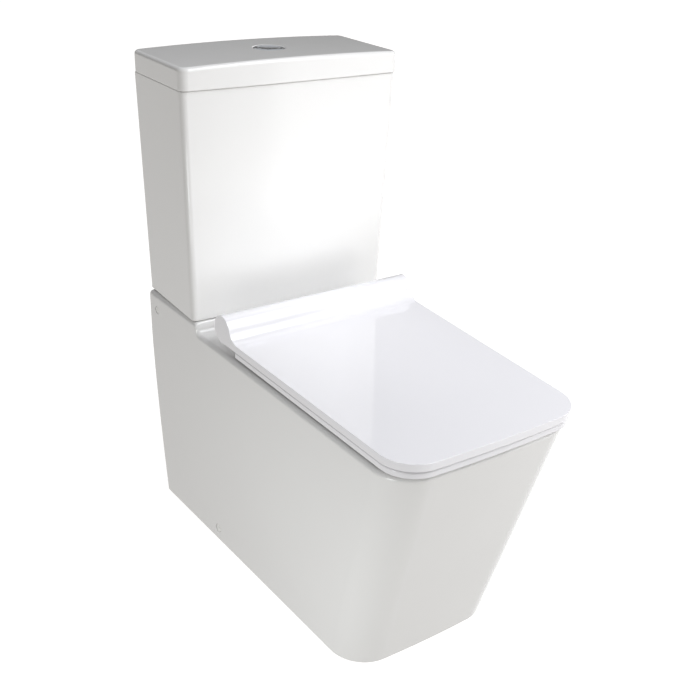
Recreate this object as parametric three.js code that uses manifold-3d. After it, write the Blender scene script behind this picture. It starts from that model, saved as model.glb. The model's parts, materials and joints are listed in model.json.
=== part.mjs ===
// Close coupled toilet: pan, cistern, flush and fill valves, dual button and hinged seat.
// Millimetres, +Z up, front towards -Y. The origin is on the floor, under the middle of the object.
import * as THREE from 'three';
import { mergeVertices } from 'three/addons/utils/BufferGeometryUtils.js';
import Module from 'manifold-3d';

const wasm = await Module();
wasm.setup();

// ---------------------------------------------------------------- driving dimensions
const GAP = 0.3;                 // clearance kept between pieces that touch
const REAR_Y = 345;              // the plane against the wall
const SEAT_FRONT_Y = -345;       // the frontmost point, on the seat lid
const RIM_Z = 398;               // top of the pan's rim and of the deck behind it
const PLATFORM_Z = 415;          // the raised shelf that carries the cistern
const PLATFORM_Y = 179;          // front of that shelf
const CERAMIC = 12;              // wall of the pan
const DECK = 14;                 // thickness of rim, deck and platform

const PAN_LEVELS = [0, 80, 190, 310, 398, 415];
const PAN_REAR_HALF = [172.5, 177.5, 182.5, 187, 187.5, 186];
const PAN_FRONT_HALF_FOOT = 137;
const PAN_FRONT_HALF_RIM = 156;
const PAN_FRONT_Y_FOOT = -232;
const PAN_FRONT_Y_RIM = -334;
const PAN_CORNER_R = 58;
const FRONT_BOW = 5;               // how far the middle of the front stands forward of its corners

const TANK_Z0 = PLATFORM_Z + 1;
const TANK_Z1 = 779;
const TANK_HALF_FOOT = 180.5;
const TANK_HALF_TOP = 188.5;
const TANK_DEPTH_FOOT = 163;
const TANK_DEPTH_TOP = 168;
const TANK_WALL = 10;
const TANK_FLOOR = 14;
const TANK_BOW = 3;
const TANK_CORNER_R = 9;
const TANK_REAR_CORNER_R = 4;

const COVER_HALF = 190;
const COVER_DEPTH = 171;
const COVER_Z0 = TANK_Z1 + 0.5;
const COVER_EDGE_Z = 811;
const COVER_TOP_Z = 816;
const COVER_UNDER_Z = 806;
const COVER_CORNER_R = 14;
const COVER_REAR_CORNER_R = 12;

const VALVE_Y = 258;             // line of the flush valve, the fill valve and the coupling bolts
const BOLT_X = 78;
const FILL_X = -125;
const INLET_R = 48;              // recess in the platform that takes the valve nut and gasket
const RECESS_Z = PLATFORM_Z - 30;

const HINGE_X = 77.5;            // half the spacing of the seat hinges
const HINGE_Y = 100;
const HINGE_Z = 435;
const HINGE_BORE_R = 6.4;
const ROLL_R = 23;               // the roll along the back of the seat lid
const ROLL_HALF = 172;
const SEAT_REAR_HALF = 172;
const SEAT_FRONT_HALF = 155.7;
const SEAT_CORNER_R = 50;
const LID_Z0 = 413.5;
const LID_Z1 = 425;
const RING_Z0 = 401.3;
const RING_Z1 = 411.5;

const TRAP_BORE_R = 35;
const TRAP_WALL = 9;
const OUTLET_Z = 180;            // centre height of the horizontal outlet
const OUTLET_R = 51;
const OUTLET_END_Y = 320;

const BUTTON_R = 17.4;
const BUTTON_Z = 808.8;          // underside of the button halves
const BUTTON_TURN = THREE.MathUtils.degToRad(35);   // direction of the split across the button
const ROD_OFFSET = 9;            // push rods from the button's centre

// ---------------------------------------------------------------- finishes
const finish = (color, roughness, metalness = 0) => () =>
  new THREE.MeshStandardMaterial({ color, roughness, metalness });
const GLAZE = finish(0xf2f3f4, 0.12);
const SEAT_PLASTIC = finish(0xf0f0f4, 0.15);
const WHITE_PLASTIC = finish(0xe9e9e6, 0.4);
const GREY_PLASTIC = finish(0xaeb4b9, 0.45);
const BLUE_PLASTIC = finish(0x4d7fae, 0.45);
const CHROME = finish(0xc9cdd0, 0.12, 1);
const STEEL = finish(0xb2b4b6, 0.35, 1);
const BRASS = finish(0xc2a25a, 0.35, 1);
const RUBBER = finish(0x2a2b2d, 0.7);
const SOFT_PAD = finish(0xdcdcdc, 0.6);

// ---------------------------------------------------------------- helpers
const group = new THREE.Group();

function addPiece(name, geometry, material) {
  const mesh = new THREE.Mesh(geometry, material());
  mesh.name = name;
  group.add(mesh);
  return mesh;
}

function toSolid(geometry) {
  const bare = geometry.clone();
  bare.deleteAttribute('normal');
  bare.deleteAttribute('uv');
  const merged = mergeVertices(bare, 1e-4);
  return new wasm.Manifold(new wasm.Mesh({
    numProp: 3,
    vertProperties: new Float32Array(merged.attributes.position.array),
    triVerts: new Uint32Array(merged.index.array),
  }));
}

function toGeometry(solid) {
  const mesh = solid.getMesh();
  const geometry = new THREE.BufferGeometry();
  geometry.setAttribute('position', new THREE.BufferAttribute(new Float32Array(mesh.vertProperties), 3));
  geometry.setIndex(new THREE.BufferAttribute(new Uint32Array(mesh.triVerts), 1));
  geometry.computeVertexNormals();
  return geometry;
}

const joinAll = (solids) => solids.reduce((whole, solid) => whole.add(solid));
const cutAll = (solid, cutters) => cutters.reduce((whole, cutter) => whole.subtract(cutter), solid);

// A box by its corners.
function box(x0, x1, y0, y1, z0, z1) {
  return new THREE.BoxGeometry(x1 - x0, y1 - y0, z1 - z0)
    .translate((x0 + x1) / 2, (y0 + y1) / 2, (z0 + z1) / 2);
}

// A ring or shaft turned about an upright axis at (x, y): the profile holds [radius, height] pairs.
function turned(profile, x, y, sides = 16) {
  const points = profile.map(([r, z]) => new THREE.Vector2(r, z));
  if (profile.every(([r]) => r > 0)) points.push(points[0].clone());
  return new THREE.LatheGeometry(points, sides).rotateX(Math.PI / 2).translate(x, y, 0);
}

const shaft = (r, z0, z1, x, y, sides) => turned([[0, z0], [r, z0], [r, z1], [0, z1]], x, y, sides);
const ring = (rIn, rOut, z0, z1, x, y, sides) =>
  turned([[rIn, z0], [rOut, z0], [rOut, z1], [rIn, z1]], x, y, sides);

// A rod lying along X.
function crossShaft(r, x0, x1, y, z, sides = 18) {
  return new THREE.CylinderGeometry(r, r, x1 - x0, sides)
    .rotateZ(Math.PI / 2).translate((x0 + x1) / 2, y, z);
}

// A rod lying along Y at x = 0.
function crossAlong(r, y0, y1, z, sides = 20) {
  return new THREE.CylinderGeometry(r, r, y1 - y0, sides).translate(0, (y0 + y1) / 2, z);
}

// A shape drawn in (y, z) and extruded along X.
function extrudeAcross(shape, x0, x1, curveSegments = 8) {
  const geometry = new THREE.ExtrudeGeometry(shape, { depth: x1 - x0, bevelEnabled: false, curveSegments });
  const toAcross = new THREE.Matrix4().makeBasis(
    new THREE.Vector3(0, 1, 0), new THREE.Vector3(0, 0, 1), new THREE.Vector3(1, 0, 0));
  return geometry.applyMatrix4(toAcross).translate(x0, 0, 0);
}

// The arc that rounds the corner between two straight edges.
function roundCorner(before, corner, after, radius, steps) {
  const into = before.clone().sub(corner).normalize();
  const out = after.clone().sub(corner).normalize();
  const half = Math.acos(into.dot(out)) / 2;
  const middle = into.clone().add(out).normalize();
  const centre = corner.clone().addScaledVector(middle, radius / Math.sin(half));
  const start = corner.clone().addScaledVector(into, radius / Math.tan(half)).sub(centre).angle();
  let sweep = corner.clone().addScaledVector(out, radius / Math.tan(half)).sub(centre).angle() - start;
  if (sweep < 0) sweep += 2 * Math.PI;
  return Array.from({ length: steps + 1 }, (_, i) => {
    const angle = start + (sweep * i) / steps;
    return new THREE.Vector2(centre.x + radius * Math.cos(angle), centre.y + radius * Math.sin(angle));
  });
}

// A symmetric plan outline, anticlockwise from above: straight slanting sides, rounded corners
// and a bowed front.
function outline({ rearHalf, frontHalf, rearY, frontY, frontR, rearR, bow = 0, frontSteps = 6 }) {
  const corners = [
    [new THREE.Vector2(-frontHalf, frontY), frontR, frontSteps],
    [new THREE.Vector2(frontHalf, frontY), frontR, frontSteps],
    [new THREE.Vector2(rearHalf, rearY), rearR, 3],
    [new THREE.Vector2(-rearHalf, rearY), rearR, 3],
  ];
  const points = [];
  corners.forEach(([corner, radius, steps], i) => {
    const before = corners[(i + 3) % 4][0];
    const after = corners[(i + 1) % 4][0];
    points.push(...roundCorner(before, corner, after, radius, steps));
    if (i === 0) {
      const from = points[points.length - 1].x;
      for (let k = 1; k < 6; k += 1) points.push(new THREE.Vector2(from * (1 - k / 3), frontY));
    }
  });
  for (const point of points) {
    const forward = (rearY - point.y) / (rearY - frontY);
    point.y -= bow * (1 - (point.x / frontHalf) ** 2) * forward ** 8;
  }
  return points;
}

// A closed body through outlines that all have the same number of points, from the lowest to the highest.
function loft(levels) {
  const count = levels[0].points.length;
  const positions = levels.flatMap(({ z, points }) => points.flatMap((p) => [p.x, p.y, z]));
  const index = [];
  for (let level = 0; level < levels.length - 1; level += 1) {
    for (let i = 0; i < count; i += 1) {
      const a = level * count + i;
      const b = level * count + ((i + 1) % count);
      index.push(a, b, b + count, a, b + count, a + count);
    }
  }
  const top = (levels.length - 1) * count;
  for (const [a, b, c] of THREE.ShapeUtils.triangulateShape(levels[0].points, [])) index.push(a, c, b);
  const lidFaces = THREE.ShapeUtils.triangulateShape(levels[levels.length - 1].points, []);
  for (const [a, b, c] of lidFaces) index.push(top + a, top + b, top + c);
  const geometry = new THREE.BufferGeometry();
  geometry.setAttribute('position', new THREE.Float32BufferAttribute(positions, 3));
  geometry.setIndex(index);
  geometry.computeVertexNormals();
  return geometry;
}

const slab = (plan, z0, z1) => loft([{ z: z0, points: outline(plan) }, { z: z1, points: outline(plan) }]);

// ---------------------------------------------------------------- pan
const blend = (z, foot, rim) => THREE.MathUtils.mapLinear(z, 0, RIM_Z, foot, rim);

function panBody(inset, zLow, zHigh) {
  const heights = [zLow, ...PAN_LEVELS.filter((z) => z > zLow && z < zHigh), zHigh];
  const rearHalfAt = (z) => {
    const i = Math.max(1, PAN_LEVELS.findIndex((level) => level >= z));
    return THREE.MathUtils.mapLinear(
      z, PAN_LEVELS[i - 1], PAN_LEVELS[i], PAN_REAR_HALF[i - 1], PAN_REAR_HALF[i]);
  };
  return loft(heights.map((z) => ({
    z,
    points: outline({
      rearHalf: rearHalfAt(z) - inset,
      frontHalf: blend(z, PAN_FRONT_HALF_FOOT, PAN_FRONT_HALF_RIM) - inset,
      rearY: REAR_Y - inset,
      frontY: blend(z, PAN_FRONT_Y_FOOT, PAN_FRONT_Y_RIM) + inset,
      frontR: PAN_CORNER_R - inset,
      rearR: inset ? 4 : 8,
      bow: FRONT_BOW,
    }),
  })));
}

// Bowl sections from the sump to the rim: height, rear and front half widths, rear and front Y, radius.
const BOWL = [
  [98, 30, 26, -14, -78, 20],
  [110, 40, 34, -5, -90, 28],
  [160, 56, 46, 5, -120, 36],
  [220, 82, 66, 20, -190, 50],
  [300, 112, 98, 34, -262, 70],
  [370, 126, 114, 44, -288, 76],
  [384, 122, 110, 40, -284, 74],
];
const BOWL_WALL = 12;

function bowlBody(grow, zTop) {
  const levels = BOWL.map(([z, rearHalf, frontHalf, rearY, frontY, radius], i) => ({
    z: i === 0 ? z - grow : z,
    points: outline({
      rearHalf: rearHalf + grow,
      frontHalf: frontHalf + grow,
      rearY: rearY + grow,
      frontY: frontY - grow,
      frontR: radius + grow,
      rearR: radius * 0.6 + grow,
    }),
  }));
  const last = levels[levels.length - 1];
  return loft([...levels, { z: zTop, points: last.points }]);
}

const TRAP_LINE = new THREE.CatmullRomCurve3([
  [-40, 138], [20, 142], [75, 185], [110, 240], [150, 262], [190, 240], [225, 195], [265, OUTLET_Z],
  [OUTLET_END_Y - 10, OUTLET_Z],
].map(([y, z]) => new THREE.Vector3(0, y, z)));

function trapTube(radius) {
  const circle = new THREE.Shape().absarc(0, 0, radius, 0, 2 * Math.PI);
  return new THREE.ExtrudeGeometry(circle, { extrudePath: TRAP_LINE, steps: 14, curveSegments: 8 });
}

// Caps in the pan's sides, given on the left: place of the hole, and radius of hole and pocket.
const SIDE_HOLES = {
  side_cap: { x: -162.7, y: 152, z: 27, holeR: 5, pocketR: 8 },
  upper_cap: { x: -186, y: 314, z: 387, holeR: 4, pocketR: 6.6 },
};
const POCKET = 2.2;

function pan() {
  const outer = toSolid(panBody(0, 0, PLATFORM_Z));
  const shell = cutAll(outer, [
    toSolid(box(-250, 250, -400, PLATFORM_Y, RIM_Z, PLATFORM_Z + 5)),
    toSolid(panBody(CERAMIC, -5, RIM_Z - DECK)),
    toSolid(box(-168, 168, PLATFORM_Y + CERAMIC, REAR_Y - CERAMIC, RIM_Z - DECK - 1, PLATFORM_Z - DECK)),
    toSolid(box(-150, 150, REAR_Y - CERAMIC - 1, REAR_Y + 5, -5, 360)),
  ]);
  const solid = joinAll([
    shell,
    toSolid(bowlBody(BOWL_WALL, RIM_Z - 1)),
    toSolid(trapTube(TRAP_BORE_R + TRAP_WALL)),
    toSolid(crossAlong(OUTLET_R, 262, OUTLET_END_Y, OUTLET_Z)),
    toSolid(box(-33, 33, 40, VALVE_Y + 40, 336, 378)),
    toSolid(shaft(INLET_R + 10, 336, PLATFORM_Z - 1, 0, VALVE_Y)),
  ]);
  const holes = [
    toSolid(bowlBody(0, RIM_Z + 2)),
    toSolid(trapTube(TRAP_BORE_R)),
    toSolid(crossAlong(TRAP_BORE_R + 4, 290, OUTLET_END_Y + 5, OUTLET_Z)),
    toSolid(box(-24, 24, 20, VALVE_Y, 346, 368)),
    toSolid(shaft(INLET_R, RECESS_Z, PLATFORM_Z + 2, 0, VALVE_Y)),
    toSolid(shaft(28, 346, PLATFORM_Z, 0, VALVE_Y)),
    toSolid(shaft(17, 390, PLATFORM_Z + 2, FILL_X, VALVE_Y)),
  ];
  for (const side of [-1, 1]) {
    holes.push(toSolid(shaft(7, 380, RIM_Z + 2, side * HINGE_X, HINGE_Y, 20)));
    holes.push(toSolid(shaft(7, 390, PLATFORM_Z + 2, side * BOLT_X, VALVE_Y, 20)));
    for (const { x, y, z, holeR, pocketR } of Object.values(SIDE_HOLES)) {
      const outside = Math.abs(x);
      const hole = crossShaft(holeR, outside - 25, outside + 10, y, z, 14);
      const pocket = crossShaft(pocketR, outside - POCKET, outside + 10, y, z, 24);
      holes.push(toSolid(hole).add(toSolid(pocket)).scale([side, 1, 1]));
    }
  }
  return toGeometry(cutAll(solid, holes));
}

addPiece('pan', pan(), GLAZE);

// Fixings low in the pan's sides: an angle bracket on the floor, a screw into it and a cap over the hole.
function mirrored(geometry, side) {
  return side > 0 ? geometry : toGeometry(toSolid(geometry).scale([-1, 1, 1]));
}

function sideCap({ x, y, z, holeR, pocketR }) {
  const outside = Math.abs(x);
  const head = toSolid(crossShaft(pocketR - 0.5, outside - POCKET + GAP, outside - 0.2, y, z));
  const stem = toSolid(crossShaft(holeR - 0.4, outside - 6, outside - 1, y, z, 16));
  return toGeometry(head.add(stem));
}

function floorBracket({ y, z }) {
  const plate = toSolid(box(144, 147, y - 20, y + 20, 0, 46));
  const foot = toSolid(box(110, 146, y - 20, y + 20, 0, 3));
  const holes = [toSolid(crossShaft(3.2, 140, 150, y, z)), toSolid(shaft(3.2, -2, 6, 126, y, 20))];
  return toGeometry(cutAll(plate.add(foot), holes));
}

function sideScrew({ x, y, z }) {
  const inside = Math.abs(x) - 7;
  const head = toSolid(crossShaft(4.2, inside - 2.5, inside, y, z, 16));
  return toGeometry(head.add(toSolid(crossShaft(2.4, 134, inside - 1, y, z, 12))));
}

for (const [suffix, side] of [['left', -1], ['right', 1]]) {
  addPiece(`side_cap_${suffix}`, mirrored(sideCap(SIDE_HOLES.side_cap), side), WHITE_PLASTIC);
  addPiece(`upper_cap_${suffix}`, mirrored(sideCap(SIDE_HOLES.upper_cap), side), WHITE_PLASTIC);
  addPiece(`side_screw_${suffix}`, mirrored(sideScrew(SIDE_HOLES.side_cap), side), STEEL);
  addPiece(`floor_bracket_${suffix}`, mirrored(floorBracket(SIDE_HOLES.side_cap), side), STEEL);
}

// ---------------------------------------------------------------- cistern tank and its fixings
function tankPlan(half, depth, inset = 0) {
  return {
    rearHalf: half - inset,
    frontHalf: half - inset,
    rearY: REAR_Y - inset,
    frontY: REAR_Y - depth + inset,
    frontR: Math.max(TANK_CORNER_R - inset, TANK_REAR_CORNER_R),
    rearR: TANK_REAR_CORNER_R,
    bow: TANK_BOW,
    frontSteps: 4,
  };
}

function tank() {
  const outer = loft([
    { z: TANK_Z0, points: outline(tankPlan(TANK_HALF_FOOT, TANK_DEPTH_FOOT)) },
    { z: TANK_Z1, points: outline(tankPlan(TANK_HALF_TOP, TANK_DEPTH_TOP)) },
  ]);
  const inner = loft([
    { z: TANK_Z0 + TANK_FLOOR, points: outline(tankPlan(TANK_HALF_FOOT, TANK_DEPTH_FOOT, TANK_WALL)) },
    { z: TANK_Z1 + 1, points: outline(tankPlan(TANK_HALF_TOP, TANK_DEPTH_TOP, TANK_WALL)) },
  ]);
  const through = (r, x) => toSolid(shaft(r, TANK_Z0 - 2, TANK_Z0 + TANK_FLOOR + 2, x, VALVE_Y));
  const holes = [through(31, 0), through(11.6, FILL_X), through(6, BOLT_X), through(6, -BOLT_X)];
  return toGeometry(cutAll(toSolid(outer), [toSolid(inner), ...holes]));
}

addPiece('cistern_tank', tank(), GLAZE);

const TANK_FLOOR_Z = TANK_Z0 + TANK_FLOOR;
addPiece('coupling_gasket', ring(39, INLET_R - 2, RECESS_Z + GAP, TANK_Z0 - GAP, 0, VALVE_Y), RUBBER);

function nut(acrossR, boreR, z0, z1, x, y, sides = 6) {
  const bore = toSolid(shaft(boreR, z0 - 2, z1 + 2, x, y));
  return toGeometry(toSolid(shaft(acrossR, z0, z1, x, y, sides)).subtract(bore));
}

function couplingBolt(x) {
  const head = toSolid(shaft(9, TANK_FLOOR_Z + 6.6, TANK_FLOOR_Z + 12, x, VALVE_Y, 6));
  return toGeometry(head.add(toSolid(shaft(4, 376, TANK_FLOOR_Z + 7, x, VALVE_Y, 20))));
}

function wingNut(x) {
  const hub = toSolid(shaft(8.5, 386, 397.2, x, VALVE_Y, 20));
  const wings = toSolid(box(x - 19, x + 19, VALVE_Y - 2, VALVE_Y + 2, 380, 394));
  return toGeometry(hub.add(wings).subtract(toSolid(shaft(4.4, 370, 400, x, VALVE_Y, 20))));
}

for (const [suffix, side] of [['left', -1], ['right', 1]]) {
  const x = side * BOLT_X;
  const conical = [[4.4, 0.3], [12, 0.3], [10, 6.3], [4.4, 6.3]].map(([r, z]) => [r, z + TANK_FLOOR_Z]);
  addPiece(`coupling_bolt_${suffix}`, couplingBolt(x), BRASS);
  addPiece(`bolt_seal_${suffix}`, turned(conical, x, VALVE_Y), RUBBER);
  addPiece(`platform_washer_${suffix}`, ring(4.4, 13, 397.6, PLATFORM_Z - DECK - GAP, x, VALVE_Y), STEEL);
  addPiece(`wing_nut_${suffix}`, wingNut(x), BRASS);
}

// ---------------------------------------------------------------- flush valve
const FLANGE_Z = TANK_FLOOR_Z + 3.6;       // both valves stand on a 3 mm washer
const SEAT_Z = FLANGE_Z + 4;
const TOWER_TOP_Z = 690;
const PLUNGER_TOP_Z = 700.6;

const valveWasher = (rIn, rOut, x) =>
  ring(rIn, rOut, TANK_FLOOR_Z + GAP, FLANGE_Z - GAP, x, VALVE_Y);

addPiece('flush_valve_washer', valveWasher(31, 42, 0), RUBBER);
addPiece('flush_valve_base', turned([
  [24, 404], [28.5, 404], [28.5, FLANGE_Z], [42, FLANGE_Z], [42, SEAT_Z], [24, SEAT_Z],
], 0, VALVE_Y), GREY_PLASTIC);
addPiece('flush_valve_nut', nut(37.5, 28.9, 405, TANK_Z0 - GAP, 0, VALVE_Y), GREY_PLASTIC);

// The push rods and plungers stand on a line square to the button's split.
const rodPlace = (side) => [
  side * ROD_OFFSET * Math.cos(BUTTON_TURN),
  VALVE_Y - side * ROD_OFFSET * Math.sin(BUTTON_TURN),
];

function flushTower() {
  const shell = turned([
    [33, SEAT_Z + GAP], [36, SEAT_Z + GAP], [36, TOWER_TOP_Z], [0, TOWER_TOP_Z], [0, TOWER_TOP_Z - 3],
    [33, TOWER_TOP_Z - 3], [33, SEAT_Z + GAP],
  ], 0, VALVE_Y);
  const windows = [
    toSolid(box(-45, 45, VALVE_Y - 16, VALVE_Y + 16, SEAT_Z + 6, SEAT_Z + 34)),
    toSolid(box(-16, 16, VALVE_Y - 45, VALVE_Y + 45, SEAT_Z + 6, SEAT_Z + 34)),
  ];
  const guides = [-1, 1].map((side) => toSolid(shaft(5, 680, 700, ...rodPlace(side), 20)));
  return toGeometry(cutAll(toSolid(shell), [...windows, ...guides]));
}

addPiece('flush_valve_tower', flushTower(), WHITE_PLASTIC);
addPiece('flush_seal', ring(15, 28, SEAT_Z + GAP, SEAT_Z + 3.4, 0, VALVE_Y), RUBBER);
const CORE_Z = SEAT_Z + 3.7;
addPiece('overflow_tube', turned([
  [9.5, CORE_Z], [27, CORE_Z], [27, CORE_Z + 4], [12, CORE_Z + 4], [12, 630], [9.5, 630],
], 0, VALVE_Y), BLUE_PLASTIC);
for (const [suffix, side] of [['full', 1], ['half', -1]]) {
  addPiece(`plunger_${suffix}`, shaft(4, 662, PLUNGER_TOP_Z, ...rodPlace(side), 16), GREY_PLASTIC);
}

// ---------------------------------------------------------------- fill valve
const HEAD_Z = 640;
const PIVOT_Z = 671;
const LEVER_REACH = 26;

addPiece('fill_valve_washer', valveWasher(11, 17, FILL_X), RUBBER);
addPiece('fill_valve_column', turned([
  [5, 372], [10.4, 372], [10.4, FLANGE_Z], [17, FLANGE_Z],
  [17, SEAT_Z], [9, SEAT_Z], [9, HEAD_Z], [5, HEAD_Z],
], FILL_X, VALVE_Y, 16), WHITE_PLASTIC);
addPiece('fill_valve_nut', nut(15.5, 10.8, 403, TANK_Z0 - GAP, FILL_X, VALVE_Y), GREY_PLASTIC);

function fillHead() {
  const cap = toSolid(shaft(16, HEAD_Z + GAP, HEAD_Z + 22, FILL_X, VALVE_Y, 16));
  const ears = [-1, 1].map((side) => {
    const y = VALVE_Y + side * 6;
    return toSolid(box(FILL_X - 6, FILL_X + 6, y - 1.5, y + 1.5, HEAD_Z + 21, PIVOT_Z + 6));
  });
  const bore = toSolid(crossAlong(2.6, VALVE_Y - 10, VALVE_Y + 10, PIVOT_Z, 20)).translate([FILL_X, 0, 0]);
  return toGeometry(joinAll([cap, ...ears]).subtract(bore));
}

function fillLever() {
  const tip = FILL_X + LEVER_REACH;
  const arm = toSolid(box(FILL_X - 7, tip + 6, VALVE_Y - 3.5, VALVE_Y + 3.5, PIVOT_Z - 4.5, PIVOT_Z + 5));
  const pivot = toSolid(crossAlong(2.2, VALVE_Y - 8.5, VALVE_Y + 8.5, PIVOT_Z, 16));
  const eye = toSolid(crossAlong(3.4, VALVE_Y - 6, VALVE_Y + 6, PIVOT_Z, 20));
  return toGeometry(arm.add(pivot.translate([FILL_X, 0, 0])).subtract(eye.translate([tip, 0, 0])));
}

function fillFloat() {
  const x = FILL_X + LEVER_REACH;
  const cup = toSolid(turned([
    [10, 560], [28, 560], [28, 602], [25, 602], [25, 564], [13, 564], [13, 602], [10, 602],
  ], FILL_X, VALVE_Y, 20));
  const foot = toSolid(box(x - 2, x + 2, VALVE_Y, VALVE_Y + 10, 596, 602));
  const link = toSolid(shaft(1.5, 597, PIVOT_Z + 1.5, x, VALVE_Y + 7, 12));
  const hook = toSolid(crossAlong(1.5, VALVE_Y - 6, VALVE_Y + 7, PIVOT_Z, 12)).translate([x, 0, 0]);
  return toGeometry(joinAll([cup, foot, link, hook]));
}

addPiece('fill_valve_head', fillHead(), GREY_PLASTIC);
addPiece('fill_lever', fillLever(), BLUE_PLASTIC);
addPiece('fill_float', fillFloat(), WHITE_PLASTIC);

// ---------------------------------------------------------------- cistern cover and buttons
function coverPlan(insetX, insetY) {
  return {
    rearHalf: COVER_HALF - insetX,
    frontHalf: COVER_HALF - insetX,
    rearY: REAR_Y - insetY,
    frontY: REAR_Y - COVER_DEPTH + insetY,
    frontR: COVER_CORNER_R,
    rearR: COVER_REAR_CORNER_R,
    bow: TANK_BOW,
    frontSteps: 5,
  };
}

function cover() {
  const crown = [
    [COVER_Z0, 0, 0], [COVER_EDGE_Z, 0, 0], [813, 4, 4], [815, 70, 14], [COVER_TOP_Z, 120, 30],
  ];
  const outer = loft(crown.map(([z, insetX, insetY]) => (
    { z, points: outline(coverPlan(insetX, insetY)) })));
  const lipOut = slab(tankPlan(TANK_HALF_TOP, TANK_DEPTH_TOP, TANK_WALL + 3), TANK_Z1 - 8, TANK_Z1 + 3);
  const lipIn = slab(tankPlan(TANK_HALF_TOP, TANK_DEPTH_TOP, TANK_WALL + 8), TANK_Z1 - 10, TANK_Z1 + 8);
  const hollow = slab(coverPlan(9, 9), TANK_Z1 + 6, COVER_UNDER_Z);
  return toGeometry(cutAll(toSolid(outer).add(toSolid(lipOut)), [
    toSolid(lipIn),
    toSolid(hollow),
    toSolid(shaft(25.5, COVER_TOP_Z - 3, COVER_TOP_Z + 2, 0, VALVE_Y, 28)),
    toSolid(shaft(20.2, COVER_UNDER_Z - 5, COVER_TOP_Z, 0, VALVE_Y, 28)),
  ]));
}

addPiece('cistern_lid', cover(), GLAZE);
addPiece('button_bezel', turned([
  [17.8, 790], [19.7, 790], [19.7, 813.3], [25, 813.3], [25, 815.5], [24.2, 816.3], [17.8, 816.3],
], 0, VALVE_Y, 28), CHROME);
addPiece('button_nut', nut(28, 20.6, 798, COVER_UNDER_Z - GAP, 0, VALVE_Y, 8), WHITE_PLASTIC);

// One half of the round button, on the given side of the split, and the rod that it pushes.
function buttonHalf(side) {
  const shape = new THREE.Shape();
  const edge = 0.45;
  const angle = Math.acos(edge / BUTTON_R);
  shape.absarc(0, 0, BUTTON_R, -angle, angle);
  const geometry = new THREE.ExtrudeGeometry(shape, { depth: 7, bevelEnabled: false, curveSegments: 20 });
  const turn = side > 0 ? -BUTTON_TURN : Math.PI - BUTTON_TURN;
  return geometry.rotateZ(turn).translate(0, VALVE_Y, BUTTON_Z);
}

for (const [suffix, side] of [['full', 1], ['half', -1]]) {
  addPiece(`button_${suffix}`, buttonHalf(side), CHROME);
  const rod = shaft(3, PLUNGER_TOP_Z + 0.4, BUTTON_Z - GAP, ...rodPlace(side), 12);
  addPiece(`push_rod_${suffix}`, rod, WHITE_PLASTIC);
}

// ---------------------------------------------------------------- seat hinges
const POST_HALF = 12;            // posts and lugs are this wide either side of the hinge line
const POST_X = [HINGE_X - POST_HALF, HINGE_X + POST_HALF];
const LUG_X = [92.5, 107.5];
const PIN_X = [48, 124];
const SLOT_X = [62.5, 110];       // the room for post and lug inside the roll

// The upright of a post or lug: square below, round about the hinge line.
function uprightShape(bottomZ) {
  const shape = new THREE.Shape();
  shape.moveTo(HINGE_Y - POST_HALF, bottomZ);
  shape.lineTo(HINGE_Y + POST_HALF, bottomZ);
  shape.lineTo(HINGE_Y + POST_HALF, HINGE_Z);
  shape.absarc(HINGE_Y, HINGE_Z, POST_HALF, 0, Math.PI);
  shape.closePath();
  const bore = new THREE.Path();
  bore.absarc(HINGE_Y, HINGE_Z, HINGE_BORE_R, 0, 2 * Math.PI, true);
  shape.holes.push(bore);
  return shape;
}

function hingePost() {
  const post = toSolid(extrudeAcross(uprightShape(RIM_Z + GAP), ...POST_X));
  return toGeometry(post.subtract(toSolid(shaft(6.4, RIM_Z - 2, 414, HINGE_X, HINGE_Y, 20))));
}

for (const [suffix, side] of [['left', -1], ['right', 1]]) {
  const x = side * HINGE_X;
  addPiece(`hinge_post_${suffix}`, mirrored(hingePost(), side), CHROME);
  addPiece(`hinge_pin_${suffix}`, mirrored(crossShaft(6, ...PIN_X, HINGE_Y, HINGE_Z), side), GREY_PLASTIC);
  addPiece(`hinge_bolt_${suffix}`, turned([
    [0, 356], [3, 356], [3, 398.7], [6, 398.7], [6, 412], [0, 412],
  ], x, HINGE_Y, 20), STEEL);
  addPiece(`hinge_plug_${suffix}`, turned([
    [3.4, 364], [10, 364], [11, 383.6], [6.6, 383.6], [6.6, 397.6], [3.4, 397.6],
  ], x, HINGE_Y, 20), RUBBER);
}

// ---------------------------------------------------------------- seat ring
const seatHalfAt = (y) =>
  THREE.MathUtils.mapLinear(y, HINGE_Y, SEAT_FRONT_Y + FRONT_BOW, SEAT_REAR_HALF, SEAT_FRONT_HALF);

function seatPlan(rearY, inset) {
  return {
    rearHalf: seatHalfAt(rearY) - inset,
    frontHalf: SEAT_FRONT_HALF - inset,
    rearY,
    frontY: SEAT_FRONT_Y + FRONT_BOW + inset,
    frontR: SEAT_CORNER_R - inset,
    rearR: inset ? 8 : 1.5,
    bow: FRONT_BOW,
  };
}

const RING_REAR_Y = 72;
const RING_HOLE = { rearHalf: 108, frontHalf: 98, rearY: 22, frontY: -272, frontR: 66, rearR: 48 };

function seatRing() {
  const band = toSolid(slab(seatPlan(RING_REAR_Y, 2.5), RING_Z0, RING_Z1));
  const lug = toSolid(extrudeAcross(uprightShape(RING_Z0), ...LUG_X));
  const link = toSolid(box(...LUG_X, RING_REAR_Y - 8, HINGE_Y - POST_HALF + 2, RING_Z0, RING_Z1));
  const arm = lug.add(link);
  return toGeometry(joinAll([band, arm, arm.scale([-1, 1, 1])])
    .subtract(toSolid(slab(RING_HOLE, RING_Z0 - 2, RING_Z1 + 2))));
}

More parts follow.
